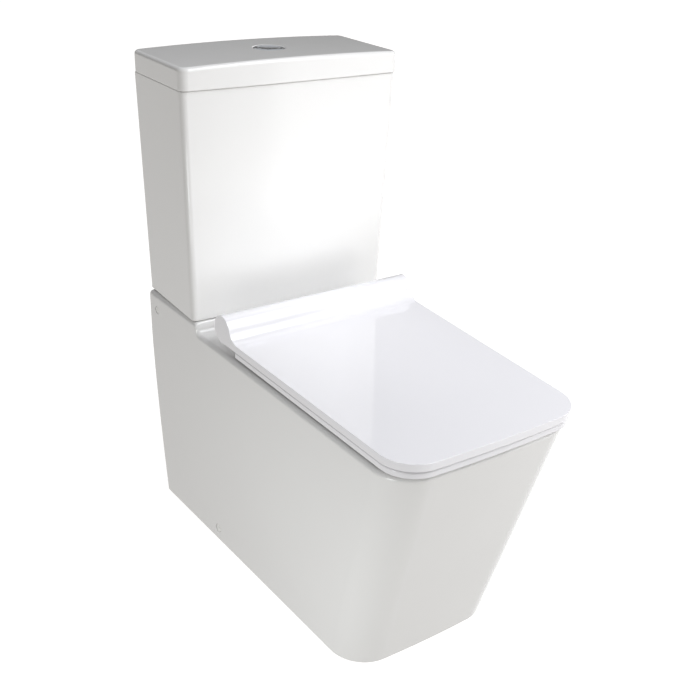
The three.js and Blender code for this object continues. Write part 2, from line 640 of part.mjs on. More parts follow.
addPiece('seat_ring', seatRing(), SEAT_PLASTIC);
for (const [row, y, x] of [['front', -235, 128], ['rear', 30, 140]]) {
  for (const [suffix, side] of [['left', -1], ['right', 1]]) {
    const pad = shaft(8, RIM_Z + GAP, RING_Z0 - GAP, side * x, y, 20);
    addPiece(`seat_buffer_${row}_${suffix}`, pad, SOFT_PAD);
  }
}

// ---------------------------------------------------------------- seat lid with its roll
function rollShape() {
  const shape = new THREE.Shape();
  const underY = HINGE_Y - 4;
  shape.moveTo(HINGE_Y - 44, LID_Z0);
  shape.lineTo(underY, LID_Z0);
  shape.absarc(HINGE_Y, HINGE_Z, ROLL_R, THREE.MathUtils.degToRad(-86), THREE.MathUtils.degToRad(168));
  shape.quadraticCurveTo(HINGE_Y - 27, LID_Z1 + 1, HINGE_Y - 44, LID_Z1);
  shape.closePath();
  return shape;
}

// The space that a post or lug needs inside the roll while the lid swings past it.
function slotCutter() {
  const clear = POST_HALF + 1.5;
  const shank = box(...SLOT_X, -clear, clear, -48, 0);
  const sweep = [0, 26, 52, 78, 104].map((angle) => {
    const turnedShank = shank.clone().rotateX(THREE.MathUtils.degToRad(angle));
    return toSolid(turnedShank.translate(0, HINGE_Y, HINGE_Z));
  });
  return joinAll([toSolid(crossShaft(18.5, ...SLOT_X, HINGE_Y, HINGE_Z, 20)), ...sweep]);
}

function seatLid() {
  const panel = toSolid(slab(seatPlan(HINGE_Y - 30, 0), LID_Z0, LID_Z1));
  const roll = toSolid(extrudeAcross(rollShape(), -ROLL_HALF, ROLL_HALF, 10));
  const bore = toSolid(crossShaft(HINGE_BORE_R, PIN_X[0] - 2, PIN_X[1] + 2, HINGE_Y, HINGE_Z));
  const slot = slotCutter().add(bore);
  return toGeometry(cutAll(panel.add(roll), [slot, slot.scale([-1, 1, 1])]));
}

addPiece('seat_lid', seatLid(), SEAT_PLASTIC);
for (const [suffix, side] of [['left', -1], ['right', 1]]) {
  addPiece(`lid_buffer_${suffix}`, shaft(6, RING_Z1 + GAP, LID_Z0 - GAP, side * 118, -268, 20), SOFT_PAD);
}

export default group;
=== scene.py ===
"""Close coupled toilet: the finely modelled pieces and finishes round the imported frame. Metres, +Z up."""

import json
import math

import bmesh
import bpy
from mathutils import Matrix, Vector


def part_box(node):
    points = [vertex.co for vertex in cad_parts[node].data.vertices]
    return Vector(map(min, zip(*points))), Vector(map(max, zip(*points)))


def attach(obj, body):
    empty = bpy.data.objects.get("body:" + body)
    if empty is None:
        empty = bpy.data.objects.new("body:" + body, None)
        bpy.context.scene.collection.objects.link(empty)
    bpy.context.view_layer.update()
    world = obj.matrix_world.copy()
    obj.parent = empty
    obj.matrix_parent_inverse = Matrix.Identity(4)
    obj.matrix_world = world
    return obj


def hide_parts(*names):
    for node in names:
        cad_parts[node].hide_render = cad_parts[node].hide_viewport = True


bl_info = {
    "name": "Close coupled toilet",
    "version": (1, 0, 0),
    "blender": (4, 5, 0),
    "location": "View3D > Sidebar > Toilet",
    "description": "Builds the glazed, moulded and plated pieces of a close coupled toilet on its frame",
    "category": "Add Mesh",
}

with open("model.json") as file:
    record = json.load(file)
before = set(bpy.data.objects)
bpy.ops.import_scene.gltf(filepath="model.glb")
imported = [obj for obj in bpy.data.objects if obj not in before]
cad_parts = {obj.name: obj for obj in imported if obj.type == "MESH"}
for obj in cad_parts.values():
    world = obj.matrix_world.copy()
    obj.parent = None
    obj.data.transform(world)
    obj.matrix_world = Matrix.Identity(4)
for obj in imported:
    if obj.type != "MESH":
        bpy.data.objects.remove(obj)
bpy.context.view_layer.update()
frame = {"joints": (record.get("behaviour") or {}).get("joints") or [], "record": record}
NODE_BODY = {node: body for body, nodes in frame["record"]["behaviour"]["bodies"].items() for node in nodes}
NODE_SLOT = {part["node"]: part["material_slot"] for part in frame["record"]["subparts"]}
MM = 0.001


def node_box(node):
    """Lowest and highest corner of a frame node."""
    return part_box(node)


def joint_named(name):
    return next(joint for joint in frame["joints"] if joint["name"] == name)


# ---------------------------------------------------------------- places taken from the frame
PAN_LOW, PAN_HIGH = node_box("pan")
TANK_LOW, TANK_HIGH = node_box("cistern_tank")
COVER_LOW, COVER_HIGH = node_box("cistern_lid")
RING_LOW = node_box("seat_ring")[0]
LID_LOW, LID_HIGH = node_box("seat_lid")
BEZEL_LOW, BEZEL_HIGH = node_box("button_bezel")
HINGE_Y, HINGE_Z = joint_named("seat_hinge")["pos_m"][1:]
REAR_Y = PAN_HIGH.y
VALVE_Y = (BEZEL_LOW.y + BEZEL_HIGH.y) / 2

# ---------------------------------------------------------------- pan
RIM_Z = node_box("hinge_post_left")[0].z - 0.3 * MM
PLATFORM_Z = PAN_HIGH.z
PLATFORM_Y = 179 * MM
REAR_HALF = PAN_HIGH.x
FOOT_REAR_HALF = 172.5 * MM
WALL_STRAIGHT_Z = 340 * MM        # above this height the back of the pan keeps its width
FOOT_FRONT_HALF = 137 * MM
RIM_FRONT_HALF = 156 * MM
FRONT_BOW = 5 * MM
FOOT_FRONT_Y = -232 * MM
RIM_FRONT_Y = PAN_LOW.y + FRONT_BOW
CERAMIC = 12 * MM
DECK = 14 * MM
PAN_CORNER_R = 58 * MM
INLET_R = node_box("coupling_gasket")[1].x + 2 * MM
OUTLET_Z = 180 * MM
OUTLET_END_Y = 320 * MM
OUTLET_R = 51                     # mm
TRAP_R = 35 * MM
TRAP_WALL = 9 * MM
FILL_X = sum(corner.x for corner in node_box("fill_valve_column")) / 2
BOLT_X = sum(corner.x for corner in node_box("bolt_seal_right")) / 2
HINGE_X = sum(corner.x for corner in node_box("hinge_bolt_right")) / 2

# Bowl sections in mm: height, rear and front half widths, rear and front Y, corner radius.
BOWL = [
    (98, 30, 26, -14, -78, 20),
    (110, 40, 34, -5, -90, 28),
    (160, 56, 46, 5, -120, 36),
    (220, 82, 66, 20, -190, 50),
    (300, 112, 98, 34, -262, 70),
    (366, 126, 114, 44, -287, 76),
    (384, 122, 110, 40, -284, 74),
]
BOWL_REAR_ROUNDING = 0.6          # radius of the bowl's rear corners, as a share of the front ones
# Middle of the trap's passage in mm: (y, height).
TRAP_LINE = [
    (-40, 138), (20, 142), (75, 185), (110, 240), (150, 262), (190, 240), (225, 195), (265, 180), (310, 180),
]

# ---------------------------------------------------------------- cistern and seat
TANK_WALL = 10 * MM
TANK_FLOOR = 14 * MM
TANK_BOW = 3 * MM
TANK_HALF_FOOT = 180.5 * MM
TANK_DEPTH_FOOT = 163 * MM
TANK_CORNER_R = 10 * MM
TANK_REAR_R = 4 * MM
COVER_SIDE_Z = TANK_HIGH.z + 0.5 * MM
COVER_CROWN = 4 * MM
BUTTON_TURN = math.radians(35)

SEAT_REAR_HALF = LID_HIGH.x
SEAT_FRONT_HALF = 155.7 * MM
HOLE_REAR_HALF = 108 * MM
HOLE_FRONT_HALF = 98 * MM
HOLE_REAR_Y = 22 * MM
HOLE_FRONT_Y = -272 * MM
HOLE_FRONT_R = 66 * MM
HOLE_REAR_R = 48 * MM
SEAT_CORNER_R = 50 * MM
SEAT_FRONT_Y = LID_LOW.y + FRONT_BOW
LID_UNDER_Z = 413.5 * MM
LID_TOP_Z = 425 * MM
ROLL_R = 23 * MM
ROLL_FOOT_Y = HINGE_Y - 44 * MM
RING_REAR_Y = 72 * MM
POST_HALF = 12 * MM
LUG_X = (92.5 * MM, 107.5 * MM)
SLOT_X = (62.5 * MM, 110 * MM)
PIN_BORE_R = 6.4 * MM


# ================================================================ values a user may change
class ToiletSettings(bpy.types.PropertyGroup):
    glaze_colour: bpy.props.FloatVectorProperty(
        name="Glaze", description="Colour of the ceramic glaze", subtype="COLOR", size=3,
        min=0.0, max=1.0, default=(0.725, 0.718, 0.705))
    seat_colour: bpy.props.FloatVectorProperty(
        name="Seat", description="Colour of the moulded seat and its lid", subtype="COLOR", size=3,
        min=0.0, max=1.0, default=(0.735, 0.725, 0.742))
    glaze_roughness: bpy.props.FloatProperty(
        name="Glaze roughness", description="How soft the glaze's reflections are", subtype="FACTOR",
        min=0.0, max=1.0, default=0.09)
    edge_radius: bpy.props.FloatProperty(
        name="Pan edge radius", description="Rounding of the pan's top edges", subtype="DISTANCE",
        unit="LENGTH", min=0.001, max=0.012, default=0.008)
    cover_edge_radius: bpy.props.FloatProperty(
        name="Cistern lid edge radius", description="Rounding of the cistern lid's top edge",
        subtype="DISTANCE", unit="LENGTH", min=0.001, max=0.012, default=0.006)
    lid_edge_radius: bpy.props.FloatProperty(
        name="Seat lid edge radius", description="Rounding of the seat lid's edge", subtype="DISTANCE",
        unit="LENGTH", min=0.0005, max=0.005, default=0.003)
    arc_steps: bpy.props.IntProperty(
        name="Corner steps", description="Faces round each front corner", min=6, max=48, default=24)
    round_steps: bpy.props.IntProperty(
        name="Turned steps", description="Faces round each turned piece", min=16, max=128, default=56)


def settings():
    return bpy.context.scene.toilet_settings


# ================================================================ plan outlines
def round_corner(before, corner, after, radius, steps):
    """Points of the arc that rounds the corner between two straight edges."""
    into = (before - corner).normalized()
    out = (after - corner).normalized()
    half = into.angle(out) / 2
    centre = corner + (into + out).normalized() * (radius / math.sin(half))
    start = corner + into * (radius / math.tan(half)) - centre
    end = corner + out * (radius / math.tan(half)) - centre
    first = math.atan2(start.y, start.x)
    sweep = (math.atan2(end.y, end.x) - first) % (2 * math.pi)
    return [
        centre + Vector((math.cos(first + sweep * i / steps), math.sin(first + sweep * i / steps))) * radius
        for i in range(steps + 1)
    ]


def plan_outline(rear_half, front_half, rear_y, front_y, front_r, rear_r, bow=0.0,
                 front_steps=24, rear_steps=8, across=24, along=12):
    """A symmetric plan, anticlockwise from above: slanting sides, rounded corners, bowed front."""
    corners = [
        (Vector((-front_half, front_y)), front_r, front_steps, across),
        (Vector((front_half, front_y)), front_r, front_steps, along),
        (Vector((rear_half, rear_y)), rear_r, rear_steps, across),
        (Vector((-rear_half, rear_y)), rear_r, rear_steps, along),
    ]
    arcs = [
        round_corner(corners[i - 1][0], corner, corners[(i + 1) % 4][0], radius, steps)
        for i, (corner, radius, steps, _) in enumerate(corners)
    ]
    points = []
    for i, arc in enumerate(arcs):
        following = arcs[(i + 1) % 4][0]
        points += arc
        points += [arc[-1].lerp(following, k / corners[i][3]) for k in range(1, corners[i][3])]
    for point in points:
        forward = (rear_y - point.y) / (rear_y - front_y)
        point.y -= bow * (1 - (point.x / front_half) ** 2) * forward ** 8
    return points


def at_height(points, z):
    return [Vector((p.x, p.y, z)) for p in points]


def rounded_levels(low, high, low_r, high_r, middle=1, steps=4):
    """(height, inset) rows up a wall whose bottom and top edges are rounded."""
    angles = [math.pi / 2 * k / steps for k in range(steps + 1)]
    foot = ([(low + low_r * (1 - math.cos(a)), low_r * (1 - math.sin(a))) for a in angles]
            if low_r else [(low, 0.0)])
    head = ([(high - high_r * (1 - math.sin(a)), high_r * (1 - math.cos(a))) for a in angles]
            if high_r else [(high, 0.0)])
    start, end = foot[-1][0], head[0][0]
    return foot + [(start + (end - start) * k / middle, 0.0) for k in range(1, middle)] + head


def smooth_rows(rows, count):
    """Catmull-Rom rows between the given ones."""
    result = []
    for k in range(count + 1):
        place = (len(rows) - 1) * k / count
        i = min(int(place), len(rows) - 2)
        t = place - i
        a, b, c, d = rows[max(i - 1, 0)], rows[i], rows[i + 1], rows[min(i + 2, len(rows) - 1)]
        result.append(tuple(
            0.5 * ((2 * q) + (r - p) * t + (2 * p - 5 * q + 4 * r - s) * t ** 2
                   + (3 * q - p - 3 * r + s) * t ** 3)
            for p, q, r, s in zip(a, b, c, d)))
    return result


# ================================================================ mesh helpers
def closed_loop(bm, points):
    """A loop of vertices and edges through the points."""
    verts = bmesh.ops.create_circle(bm, cap_ends=False, radius=1.0, segments=len(points))["verts"]
    for vert, point in zip(verts, points):
        vert.co = point
    edges = list({edge for vert in verts for edge in vert.link_edges})
    return verts, edges


def extend_loop(bm, verts, edges, points):
    """Extrudes a loop of edges onto new points, and returns the new loop."""
    made = bmesh.ops.extrude_edge_only(bm, edges=edges)["geom"]
    fresh = {item for item in made if isinstance(item, bmesh.types.BMVert)}
    new_edges = [
        item for item in made
        if isinstance(item, bmesh.types.BMEdge) and all(v in fresh for v in item.verts)
    ]
    new_verts = []
    for vert, point in zip(verts, points):
        partner = next(e.other_vert(vert) for e in vert.link_edges if e.other_vert(vert) in fresh)
        partner.co = point
        new_verts.append(partner)
    return new_verts, new_edges


def loft(bm, rings, cap=True, closed=False):
    """A skin through rings of equally many points."""
    first_verts, first_edges = closed_loop(bm, rings[0])
    verts, edges = first_verts, first_edges
    for ring in rings[1:]:
        verts, edges = extend_loop(bm, verts, edges, ring)
    if closed:
        bmesh.ops.bridge_loops(bm, edges=edges + first_edges)
    elif cap:
        bmesh.ops.edgeloop_fill(bm, edges=first_edges)
        bmesh.ops.edgeloop_fill(bm, edges=edges)


def mesh_from(bm, name):
    bmesh.ops.remove_doubles(bm, verts=bm.verts, dist=1e-6)
    bmesh.ops.recalc_face_normals(bm, faces=bm.faces)
    mesh = bpy.data.meshes.new(name)
    bm.to_mesh(mesh)
    bm.free()
    return mesh


def object_from(bm, name):
    piece = bpy.data.objects.new(name, mesh_from(bm, name))
    bpy.context.scene.collection.objects.link(piece)
    return piece


def lofted(name, rings, **options):
    bm = bmesh.new()
    loft(bm, rings, **options)
    return object_from(bm, name)


def box_piece(name, low, high, radius=0.0):
    """A box by its corners in mm, with its edges rounded if a radius is given."""
    bm = bmesh.new()
    bmesh.ops.create_cube(bm, size=1.0)
    low, high = Vector(low) * MM, Vector(high) * MM
    bmesh.ops.scale(bm, vec=high - low, verts=bm.verts)
    bmesh.ops.translate(bm, vec=(low + high) / 2, verts=bm.verts)
    if radius:
        round_edges(bm, bm.edges[:], radius * MM)
    return object_from(bm, name)


def rod_piece(name, radius, start, end, segments=40, end_radius=None):
    """A round rod between two points."""
    start, end = Vector(start), Vector(end)
    bm = bmesh.new()
    bmesh.ops.create_cone(bm, cap_ends=True, segments=segments, radius1=radius,
                          radius2=radius if end_radius is None else end_radius, depth=(end - start).length)
    turn = (end - start).to_track_quat("Z", "Y").to_matrix()
    bmesh.ops.rotate(bm, matrix=turn, verts=bm.verts)
    bmesh.ops.translate(bm, vec=(start + end) / 2, verts=bm.verts)
    return object_from(bm, name)


def soften(profile, radius, steps=4):
    """Rounds the corners of a closed (radius, height) profile, as far as its short edges allow."""
    points = [Vector(p) for p in profile]
    result = []
    for i, corner in enumerate(points):
        before, after = points[i - 1], points[(i + 1) % len(points)]
        if corner.x <= 1e-6:
            result.append(corner)
            continue
        room = min((before - corner).length, (after - corner).length) * 0.45
        into, out = (before - corner).normalized(), (after - corner).normalized()
        half = into.angle(out) / 2
        reach = min(radius / math.tan(half), room) if half > 0.05 else 0.0
        start, end = corner + into * reach, corner + out * reach
        for k in range(steps + 1):
            t = k / steps
            result.append(start * (1 - t) ** 2 + corner * 2 * t * (1 - t) + end * t ** 2)
    return result


def turned(name, profile, x=0.0, y=VALVE_Y, soft=0.4, segments=None):
    """A piece turned about an upright axis; the closed profile is (radius, height) in mm."""
    bm = bmesh.new()
    points = [Vector((p.x * MM, 0.0, p.y * MM)) for p in soften(profile, soft)]
    verts = [bm.verts.new(point) for point in points]
    pairs = list(zip(verts, verts[1:] + verts[:1]))
    edges = [bm.edges.new(pair) for pair in pairs if max(pair[0].co.x, pair[1].co.x) > 1e-7]
    bmesh.ops.spin(bm, geom=verts + edges, cent=(0, 0, 0), axis=(0, 0, 1), angle=2 * math.pi,
                   steps=segments or settings().round_steps, use_merge=True, use_duplicate=False)
    bmesh.ops.translate(bm, vec=(x, y, 0), verts=bm.verts)
    return object_from(bm, name)


def extruded_across(name, outline, x0, x1, bevel=0.0):
    """A (y, z) outline extruded along X, with softened ends."""
    bm = bmesh.new()
    _, rim = closed_loop(bm, [Vector((x0, y, z)) for y, z in outline])
    face = bmesh.ops.edgeloop_fill(bm, edges=rim)["faces"]
    made = bmesh.ops.extrude_face_region(bm, geom=face)["geom"]
    far = [item for item in made if isinstance(item, bmesh.types.BMVert)]
    bmesh.ops.translate(bm, vec=(x1 - x0, 0, 0), verts=far)
    bmesh.ops.recalc_face_normals(bm, faces=bm.faces)
    if bevel:
        ends = [edge for edge in bm.edges if abs(edge.verts[0].co.x - edge.verts[1].co.x) < 1e-9]
        round_edges(bm, ends, bevel, clamp_overlap=True)
    return object_from(bm, name)


def combine(target, tools, operation):
    """Joins or cuts closed pieces, then removes the tools."""
    for tool in tools:
        modifier = target.modifiers.new("combine", "BOOLEAN")
        modifier.operation = operation
        modifier.solver = "MANIFOLD"
        modifier.object = tool
        bpy.context.view_layer.update()
        result = bpy.data.meshes.new_from_object(target.evaluated_get(bpy.context.evaluated_depsgraph_get()))
        target.modifiers.clear()
        if not result.polygons:
            raise RuntimeError(f"{target.name}: {operation} with {tool.name} left nothing")
        target.data = result
        bpy.data.objects.remove(tool)
    return target


def mirrored_copy(piece):
    """The same piece on the other side of the middle plane."""
    bm = bmesh.new()
    bm.from_mesh(piece.data)
    bmesh.ops.scale(bm, vec=(-1, 1, 1), verts=bm.verts)
    bmesh.ops.reverse_faces(bm, faces=bm.faces)
    return object_from(bm, piece.name + "_mirror")


def shade(piece, sharp_degrees=32.0, weighted=True):
    """Smooth shading that keeps real edges crisp and flats flat."""
    bm = bmesh.new()
    bm.from_mesh(piece.data)
    bmesh.ops.remove_doubles(bm, verts=bm.verts, dist=2e-6)
    bmesh.ops.dissolve_degenerate(bm, edges=bm.edges, dist=1e-6)
    for face in bm.faces:
        face.smooth = True
    for edge in bm.edges:
        edge.smooth = not edge.is_manifold or edge.calc_face_angle(0.0) < math.radians(sharp_degrees)
    bm.to_mesh(piece.data)
    bm.free()
    if weighted:
        modifier = piece.modifiers.new("even shading", "WEIGHTED_NORMAL")
        modifier.keep_sharp = True
        modifier.weight = 60
    return piece


def settle(piece, node, name=None, sharp=32.0):
    """Shades and names a piece, and puts it in place of a frame node, with that node's body and finish."""
    piece.name = piece.data.name = name or f"{node}_part"
    slot = NODE_SLOT[node]
    shade(piece, sharp)
    piece.data.materials.clear()
    piece.data.materials.append(finish_named(slot))
    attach(piece, NODE_BODY[node])
    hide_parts(node)


def settle_pair(piece, stem):
    """Settles a piece made on the right, and its mirror image on the left."""
    settle(mirrored_copy(piece), f"{stem}_left")
    settle(piece, f"{stem}_right")


def slice_through(bm, place, direction, **options):
    """Cuts a whole mesh along a plane."""
    geometry = bm.verts[:] + bm.edges[:] + bm.faces[:]
    return bmesh.ops.bisect_plane(bm, geom=geometry, dist=1e-7, plane_co=place, plane_no=direction, **options)


def round_edges(bm, edges, radius, segments=3, **options):
    bmesh.ops.bevel(bm, geom=edges, offset=radius, offset_type="OFFSET", segments=segments, profile=0.5,
                    affect="EDGES", material=-1, **options)


# ================================================================ finishes
def node_setup(name):
    """A new node material and its main shader."""
    material = bpy.data.materials.new(name)
    material.use_nodes = True
    tree = material.node_tree
    shader = next(node for node in tree.nodes if node.type == "BSDF_PRINCIPLED")
    coordinates = tree.nodes.new("ShaderNodeTexCoord")
    coordinates.location = (-1200, 0)
    return material, tree, shader, coordinates.outputs["Object"]


def noise(tree, vector, scale, detail=3.0):
    node = tree.nodes.new("ShaderNodeTexNoise")
    node.inputs["Scale"].default_value = scale
    node.inputs["Detail"].default_value = detail
    node.inputs["Roughness"].default_value = 0.5
    tree.links.new(vector, node.inputs["Vector"])
    return node.outputs["Fac"]


def spread(tree, value, low, high, source_low=0.3, source_high=0.7):
    """Spreads a 0..1 pattern over a range."""
    node = tree.nodes.new("ShaderNodeMapRange")
    numbers = {"From Min": source_low, "From Max": source_high, "To Min": low, "To Max": high}
    for label, number in numbers.items():
        node.inputs[label].default_value = number
    tree.links.new(value, node.inputs["Value"])
    return node.outputs["Result"]


def tint(tree, value, first, second):
    """Two colours mixed by a 0..1 pattern."""
    node = tree.nodes.new("ShaderNodeMix")
    node.data_type = "RGBA"
    node.inputs[6].default_value = (*first, 1.0)
    node.inputs[7].default_value = (*second, 1.0)
    tree.links.new(value, node.inputs[0])
    return node.outputs[2]


def relief(tree, shader, heights, strength, distance):
    """A fine bump from one height pattern."""
    bump = tree.nodes.new("ShaderNodeBump")
    bump.inputs["Strength"].default_value = strength
    bump.inputs["Distance"].default_value = distance
    tree.links.new(heights, bump.inputs["Height"])
    tree.links.new(bump.outputs["Normal"], shader.inputs["Normal"])


def glossy_surface(name, colour, shade_by, roughness, rough_by, ripple, ripple_scale, grain=0.0,
                   metallic=0.0, coat=0.0):
    """A smooth finish whose colour and gloss drift a little, with a faint ripple in its surface."""
    material, tree, shader, place = node_setup(name)
    drift = spread(tree, noise(tree, place, 3.5), 0.0, 1.0)
    darker = tuple(channel * (1 - shade_by) for channel in colour)
    tree.links.new(tint(tree, drift, darker, tuple(colour)), shader.inputs["Base Color"])
    patches = noise(tree, place, 28.0, 4.0)
    tree.links.new(spread(tree, patches, roughness, roughness + rough_by), shader.inputs["Roughness"])
    heights = noise(tree, place, ripple_scale, 2.0)
    if grain:
        fine = noise(tree, place, 900.0, 2.0)
        add = tree.nodes.new("ShaderNodeMath")
        add.operation = "MULTIPLY_ADD"
        add.inputs[1].default_value = grain
        tree.links.new(fine, add.inputs[0])
        tree.links.new(heights, add.inputs[2])
        heights = add.outputs[0]
    relief(tree, shader, heights, 1.0, ripple)
    shader.inputs["Metallic"].default_value = metallic
    shader.inputs["IOR"].default_value = 1.5
    shader.inputs["Coat Weight"].default_value = coat
    shader.inputs["Coat Roughness"].default_value = 0.04
    return material


# Each finish: colour, drift of colour, roughness, drift of roughness, ripple height and scale, then extras.
PLATED = {"metallic": 1.0}
METAL = {"metallic": 1.0, "grain": 0.3}
MOULDED = {"grain": 0.3}
FINISH_VALUES = {
    "chrome": ((0.86, 0.88, 0.90), 0.05, 0.2, 0.06, 0.00002, 40.0, PLATED),
    "steel": ((0.46, 0.46, 0.47), 0.14, 0.3, 0.12, 0.00003, 160.0, METAL),
    "brass": ((0.56, 0.42, 0.16), 0.2, 0.28, 0.14, 0.00003, 160.0, METAL),
    "rubber": ((0.022, 0.023, 0.025), 0.35, 0.55, 0.15, 0.00005, 220.0, {"grain": 0.5}),
    "white_plastic": ((0.76, 0.76, 0.73), 0.04, 0.3, 0.1, 0.00003, 120.0, MOULDED),
    "grey_plastic": ((0.40, 0.43, 0.46), 0.06, 0.35, 0.1, 0.00003, 120.0, MOULDED),
    "blue_plastic": ((0.075, 0.20, 0.42), 0.08, 0.35, 0.1, 0.00003, 120.0, MOULDED),
    "soft_pad": ((0.66, 0.66, 0.65), 0.05, 0.5, 0.1, 0.00004, 200.0, {"grain": 0.4}),
}
FINISHES = {}


def finish_named(name):
    """Makes a finish once, then hands out the same one."""
    if name not in FINISHES:
        values = settings()
        if name in ("pan_glaze", "cistern_glaze"):
            *look, extras = (values.glaze_colour, 0.018, values.glaze_roughness, 0.03, 0.00035, 7.0,
                             {"grain": 0.004})
        elif name == "seat_plastic":
            *look, extras = (values.seat_colour, 0.008, 0.05, 0.02, 0.00008, 9.0, {"coat": 0.4})
        else:
            *look, extras = FINISH_VALUES[name]
        FINISHES[name] = glossy_surface(name, *look, **extras)
    return FINISHES[name]


# ================================================================ pan
def pan_widths(z):
    """Rear half width, front half width and front Y of the pan at a height."""
    rise = min(z, WALL_STRAIGHT_Z) / WALL_STRAIGHT_Z
    rear = FOOT_REAR_HALF + (REAR_HALF - FOOT_REAR_HALF) * (1 - (1 - max(rise, 0.0)) ** 1.4)
    up = z / RIM_Z
    front = FOOT_FRONT_HALF + (RIM_FRONT_HALF - FOOT_FRONT_HALF) * up
    return rear, front, FOOT_FRONT_Y + (RIM_FRONT_Y - FOOT_FRONT_Y) * up


def pan_ring(z, inset, rear_r=8 * MM):
    rear, front, front_y = pan_widths(z)
    steps = settings().arc_steps
    points = plan_outline(rear - inset, front - inset, REAR_Y - inset, front_y + inset,
                          PAN_CORNER_R - inset, max(rear_r - inset, 2 * MM), bow=FRONT_BOW, front_steps=steps)
    return at_height(points, z)


RISER_FOOT_R = 9 * MM
RISER_TOP_R = 3.5 * MM
RISER_CORNER_R = 13 * MM
RISER_BACK = 1.5 * MM             # how far the riser leans back over its height


def riser_profile():
    """(y, rise) down the middle of the step up to the cistern's platform."""
    rise = PLATFORM_Z - RIM_Z
    top_y = PLATFORM_Y + RISER_TOP_R
    lean_y = PLATFORM_Y - RISER_BACK
    foot = [(lean_y - RISER_FOOT_R * (1 - math.sin(a)), RISER_FOOT_R * (1 - math.cos(a)))
            for a in (math.pi / 2 * k / 9 for k in range(10))]
    top = [(top_y - RISER_TOP_R * math.cos(a), rise - RISER_TOP_R * (1 - math.sin(a)))
           for a in (math.pi / 2 * k / 5 for k in range(6))]
    return foot + top


def raise_platform(bm, back=0.0, from_z=0.0):
    """Cuts cross lines at the step, curves them back at the sides and lifts what is behind them."""
    profile = [(y + back, rise) for y, rise in riser_profile()]
    first, last = profile[0][0], profile[-1][0]
    fade = 34 * MM
    lines = [y for y, _ in profile]
    lines += [first - fade * k / 4 for k in range(1, 5)] + [last + fade * k / 5 for k in range(1, 6)]
    for y in sorted(lines):
        slice_through(bm, (0, y, 0), (0, 1, 0))
    for side in (-1, 1):
        for k in range(1, 12):
            x = side * (REAR_HALF - 1 * MM - RISER_CORNER_R * 1.6 * k / 11)
            slice_through(bm, (x, 0, 0), (1, 0, 0))
    corner_start = REAR_HALF - back - RISER_CORNER_R
    for vert in bm.verts:
        y = vert.co.y
        if vert.co.z > from_z:
            rise = 0.0 if y <= first else profile[-1][1]
            for (y0, r0), (y1, r1) in zip(profile, profile[1:]):
                if y0 < y <= y1:
                    rise = r0 + (r1 - r0) * (y - y0) / (y1 - y0)
            over = min(max(abs(vert.co.x) - corner_start, 0.0), RISER_CORNER_R * 0.985)
            corner = RISER_CORNER_R - math.sqrt(RISER_CORNER_R ** 2 - over ** 2)
            near = 1.0 if first <= y <= last else max(0.0, 1 - (first - y if y < first else y - last) / fade)
            vert.co.z += rise
            vert.co.y += corner * near


def pan_shell():
    radius = settings().edge_radius
    levels = rounded_levels(0.0, RIM_Z, 2.5 * MM, radius, middle=16, steps=8)
    bm = bmesh.new()
    loft(bm, [pan_ring(z, inset) for z, inset in levels])
    raise_platform(bm, from_z=RIM_Z - radius - 1e-5)
    return object_from(bm, "pan_shell")


def pan_hollow():
    """The space inside the skirt, open at the foot."""
    top = RIM_Z - DECK
    bm = bmesh.new()
    loft(bm, [pan_ring(-5 * MM + (top + 5 * MM) * k / 12, CERAMIC, rear_r=14 * MM) for k in range(13)])
    raise_platform(bm, back=CERAMIC, from_z=top - 1e-5)
    return object_from(bm, "pan_hollow")


def bowl_row(row, grow):
    z, rear_half, front_half, rear_y, front_y, radius = (value * MM for value in row)
    points = plan_outline(rear_half + grow, front_half + grow, rear_y + grow, front_y - grow,
                          radius + grow, radius * BOWL_REAR_ROUNDING + grow, front_steps=20, rear_steps=14,
                          across=10, along=16)
    return at_height(points, z)


def bowl_form(grow, top_z, lip=0.0):
    """The bowl's inside, or its outside when grown, with a rounded lip at the deck."""
    rows = smooth_rows(BOWL, 44)
    last = BOWL[-1]
    rows[0] = (rows[0][0] - grow / MM, *rows[0][1:])
    rings = [bowl_row(row, grow) for row in rows]
    if lip:
        for k in range(10):
            angle = math.radians(82) * k / 9
            z = RIM_Z - lip + lip * math.sin(angle)
            out = lip * (1 - math.cos(angle))
            rings.append(bowl_row((z / MM, *last[1:]), grow + out))
        rings.append(bowl_row(((RIM_Z + 1.2 * MM) / MM, *last[1:]), grow + lip * 2.1))
    rings.append(bowl_row((top_z / MM, *last[1:]), grow + (lip * 2.1 if lip else 0.0)))
    return lofted("bowl_form", rings)


def trap_form(radius, segments=36):
    """The trap's bent passage as a solid tube."""
    line = [Vector((0.0, y * MM, z * MM)) for y, z in smooth_rows(TRAP_LINE, 48)]
    rings = []
    for k, point in enumerate(line):
        along = (line[min(k + 1, len(line) - 1)] - line[max(k - 1, 0)]).normalized()
        up = Vector((1.0, 0.0, 0.0)).cross(along)
        rings.append([
            point + Vector((math.cos(turn), 0.0, 0.0)) * radius + up * (radius * math.sin(turn))
            for turn in (2 * math.pi * i / segments for i in range(segments))
        ])
    return lofted("trap_form", rings)


def turn_over(piece, degrees, axis, place=(0.0, 0.0, 0.0)):
    """Turns a piece's mesh about an axis through the origin, then moves it."""
    piece.data.transform(Matrix.Translation(place) @ Matrix.Rotation(math.radians(degrees), 4, axis))
    return piece


def side_hole(cap, pocket_r, hole_r):
    """The pocket and hole behind a cap in the pan's left side."""
    low, high = node_box(cap)
    y, z = (low.y + high.y) / 2, (low.z + high.z) / 2
    outside = low.x - 0.2 * MM
    pocket = rod_piece("pocket", pocket_r, (outside - 10 * MM, y, z), (outside + 2.2 * MM, y, z), 48)
    hole = rod_piece("hole", hole_r, (outside - 10 * MM, y, z), (outside + 25 * MM, y, z), 32)
    return pocket, hole


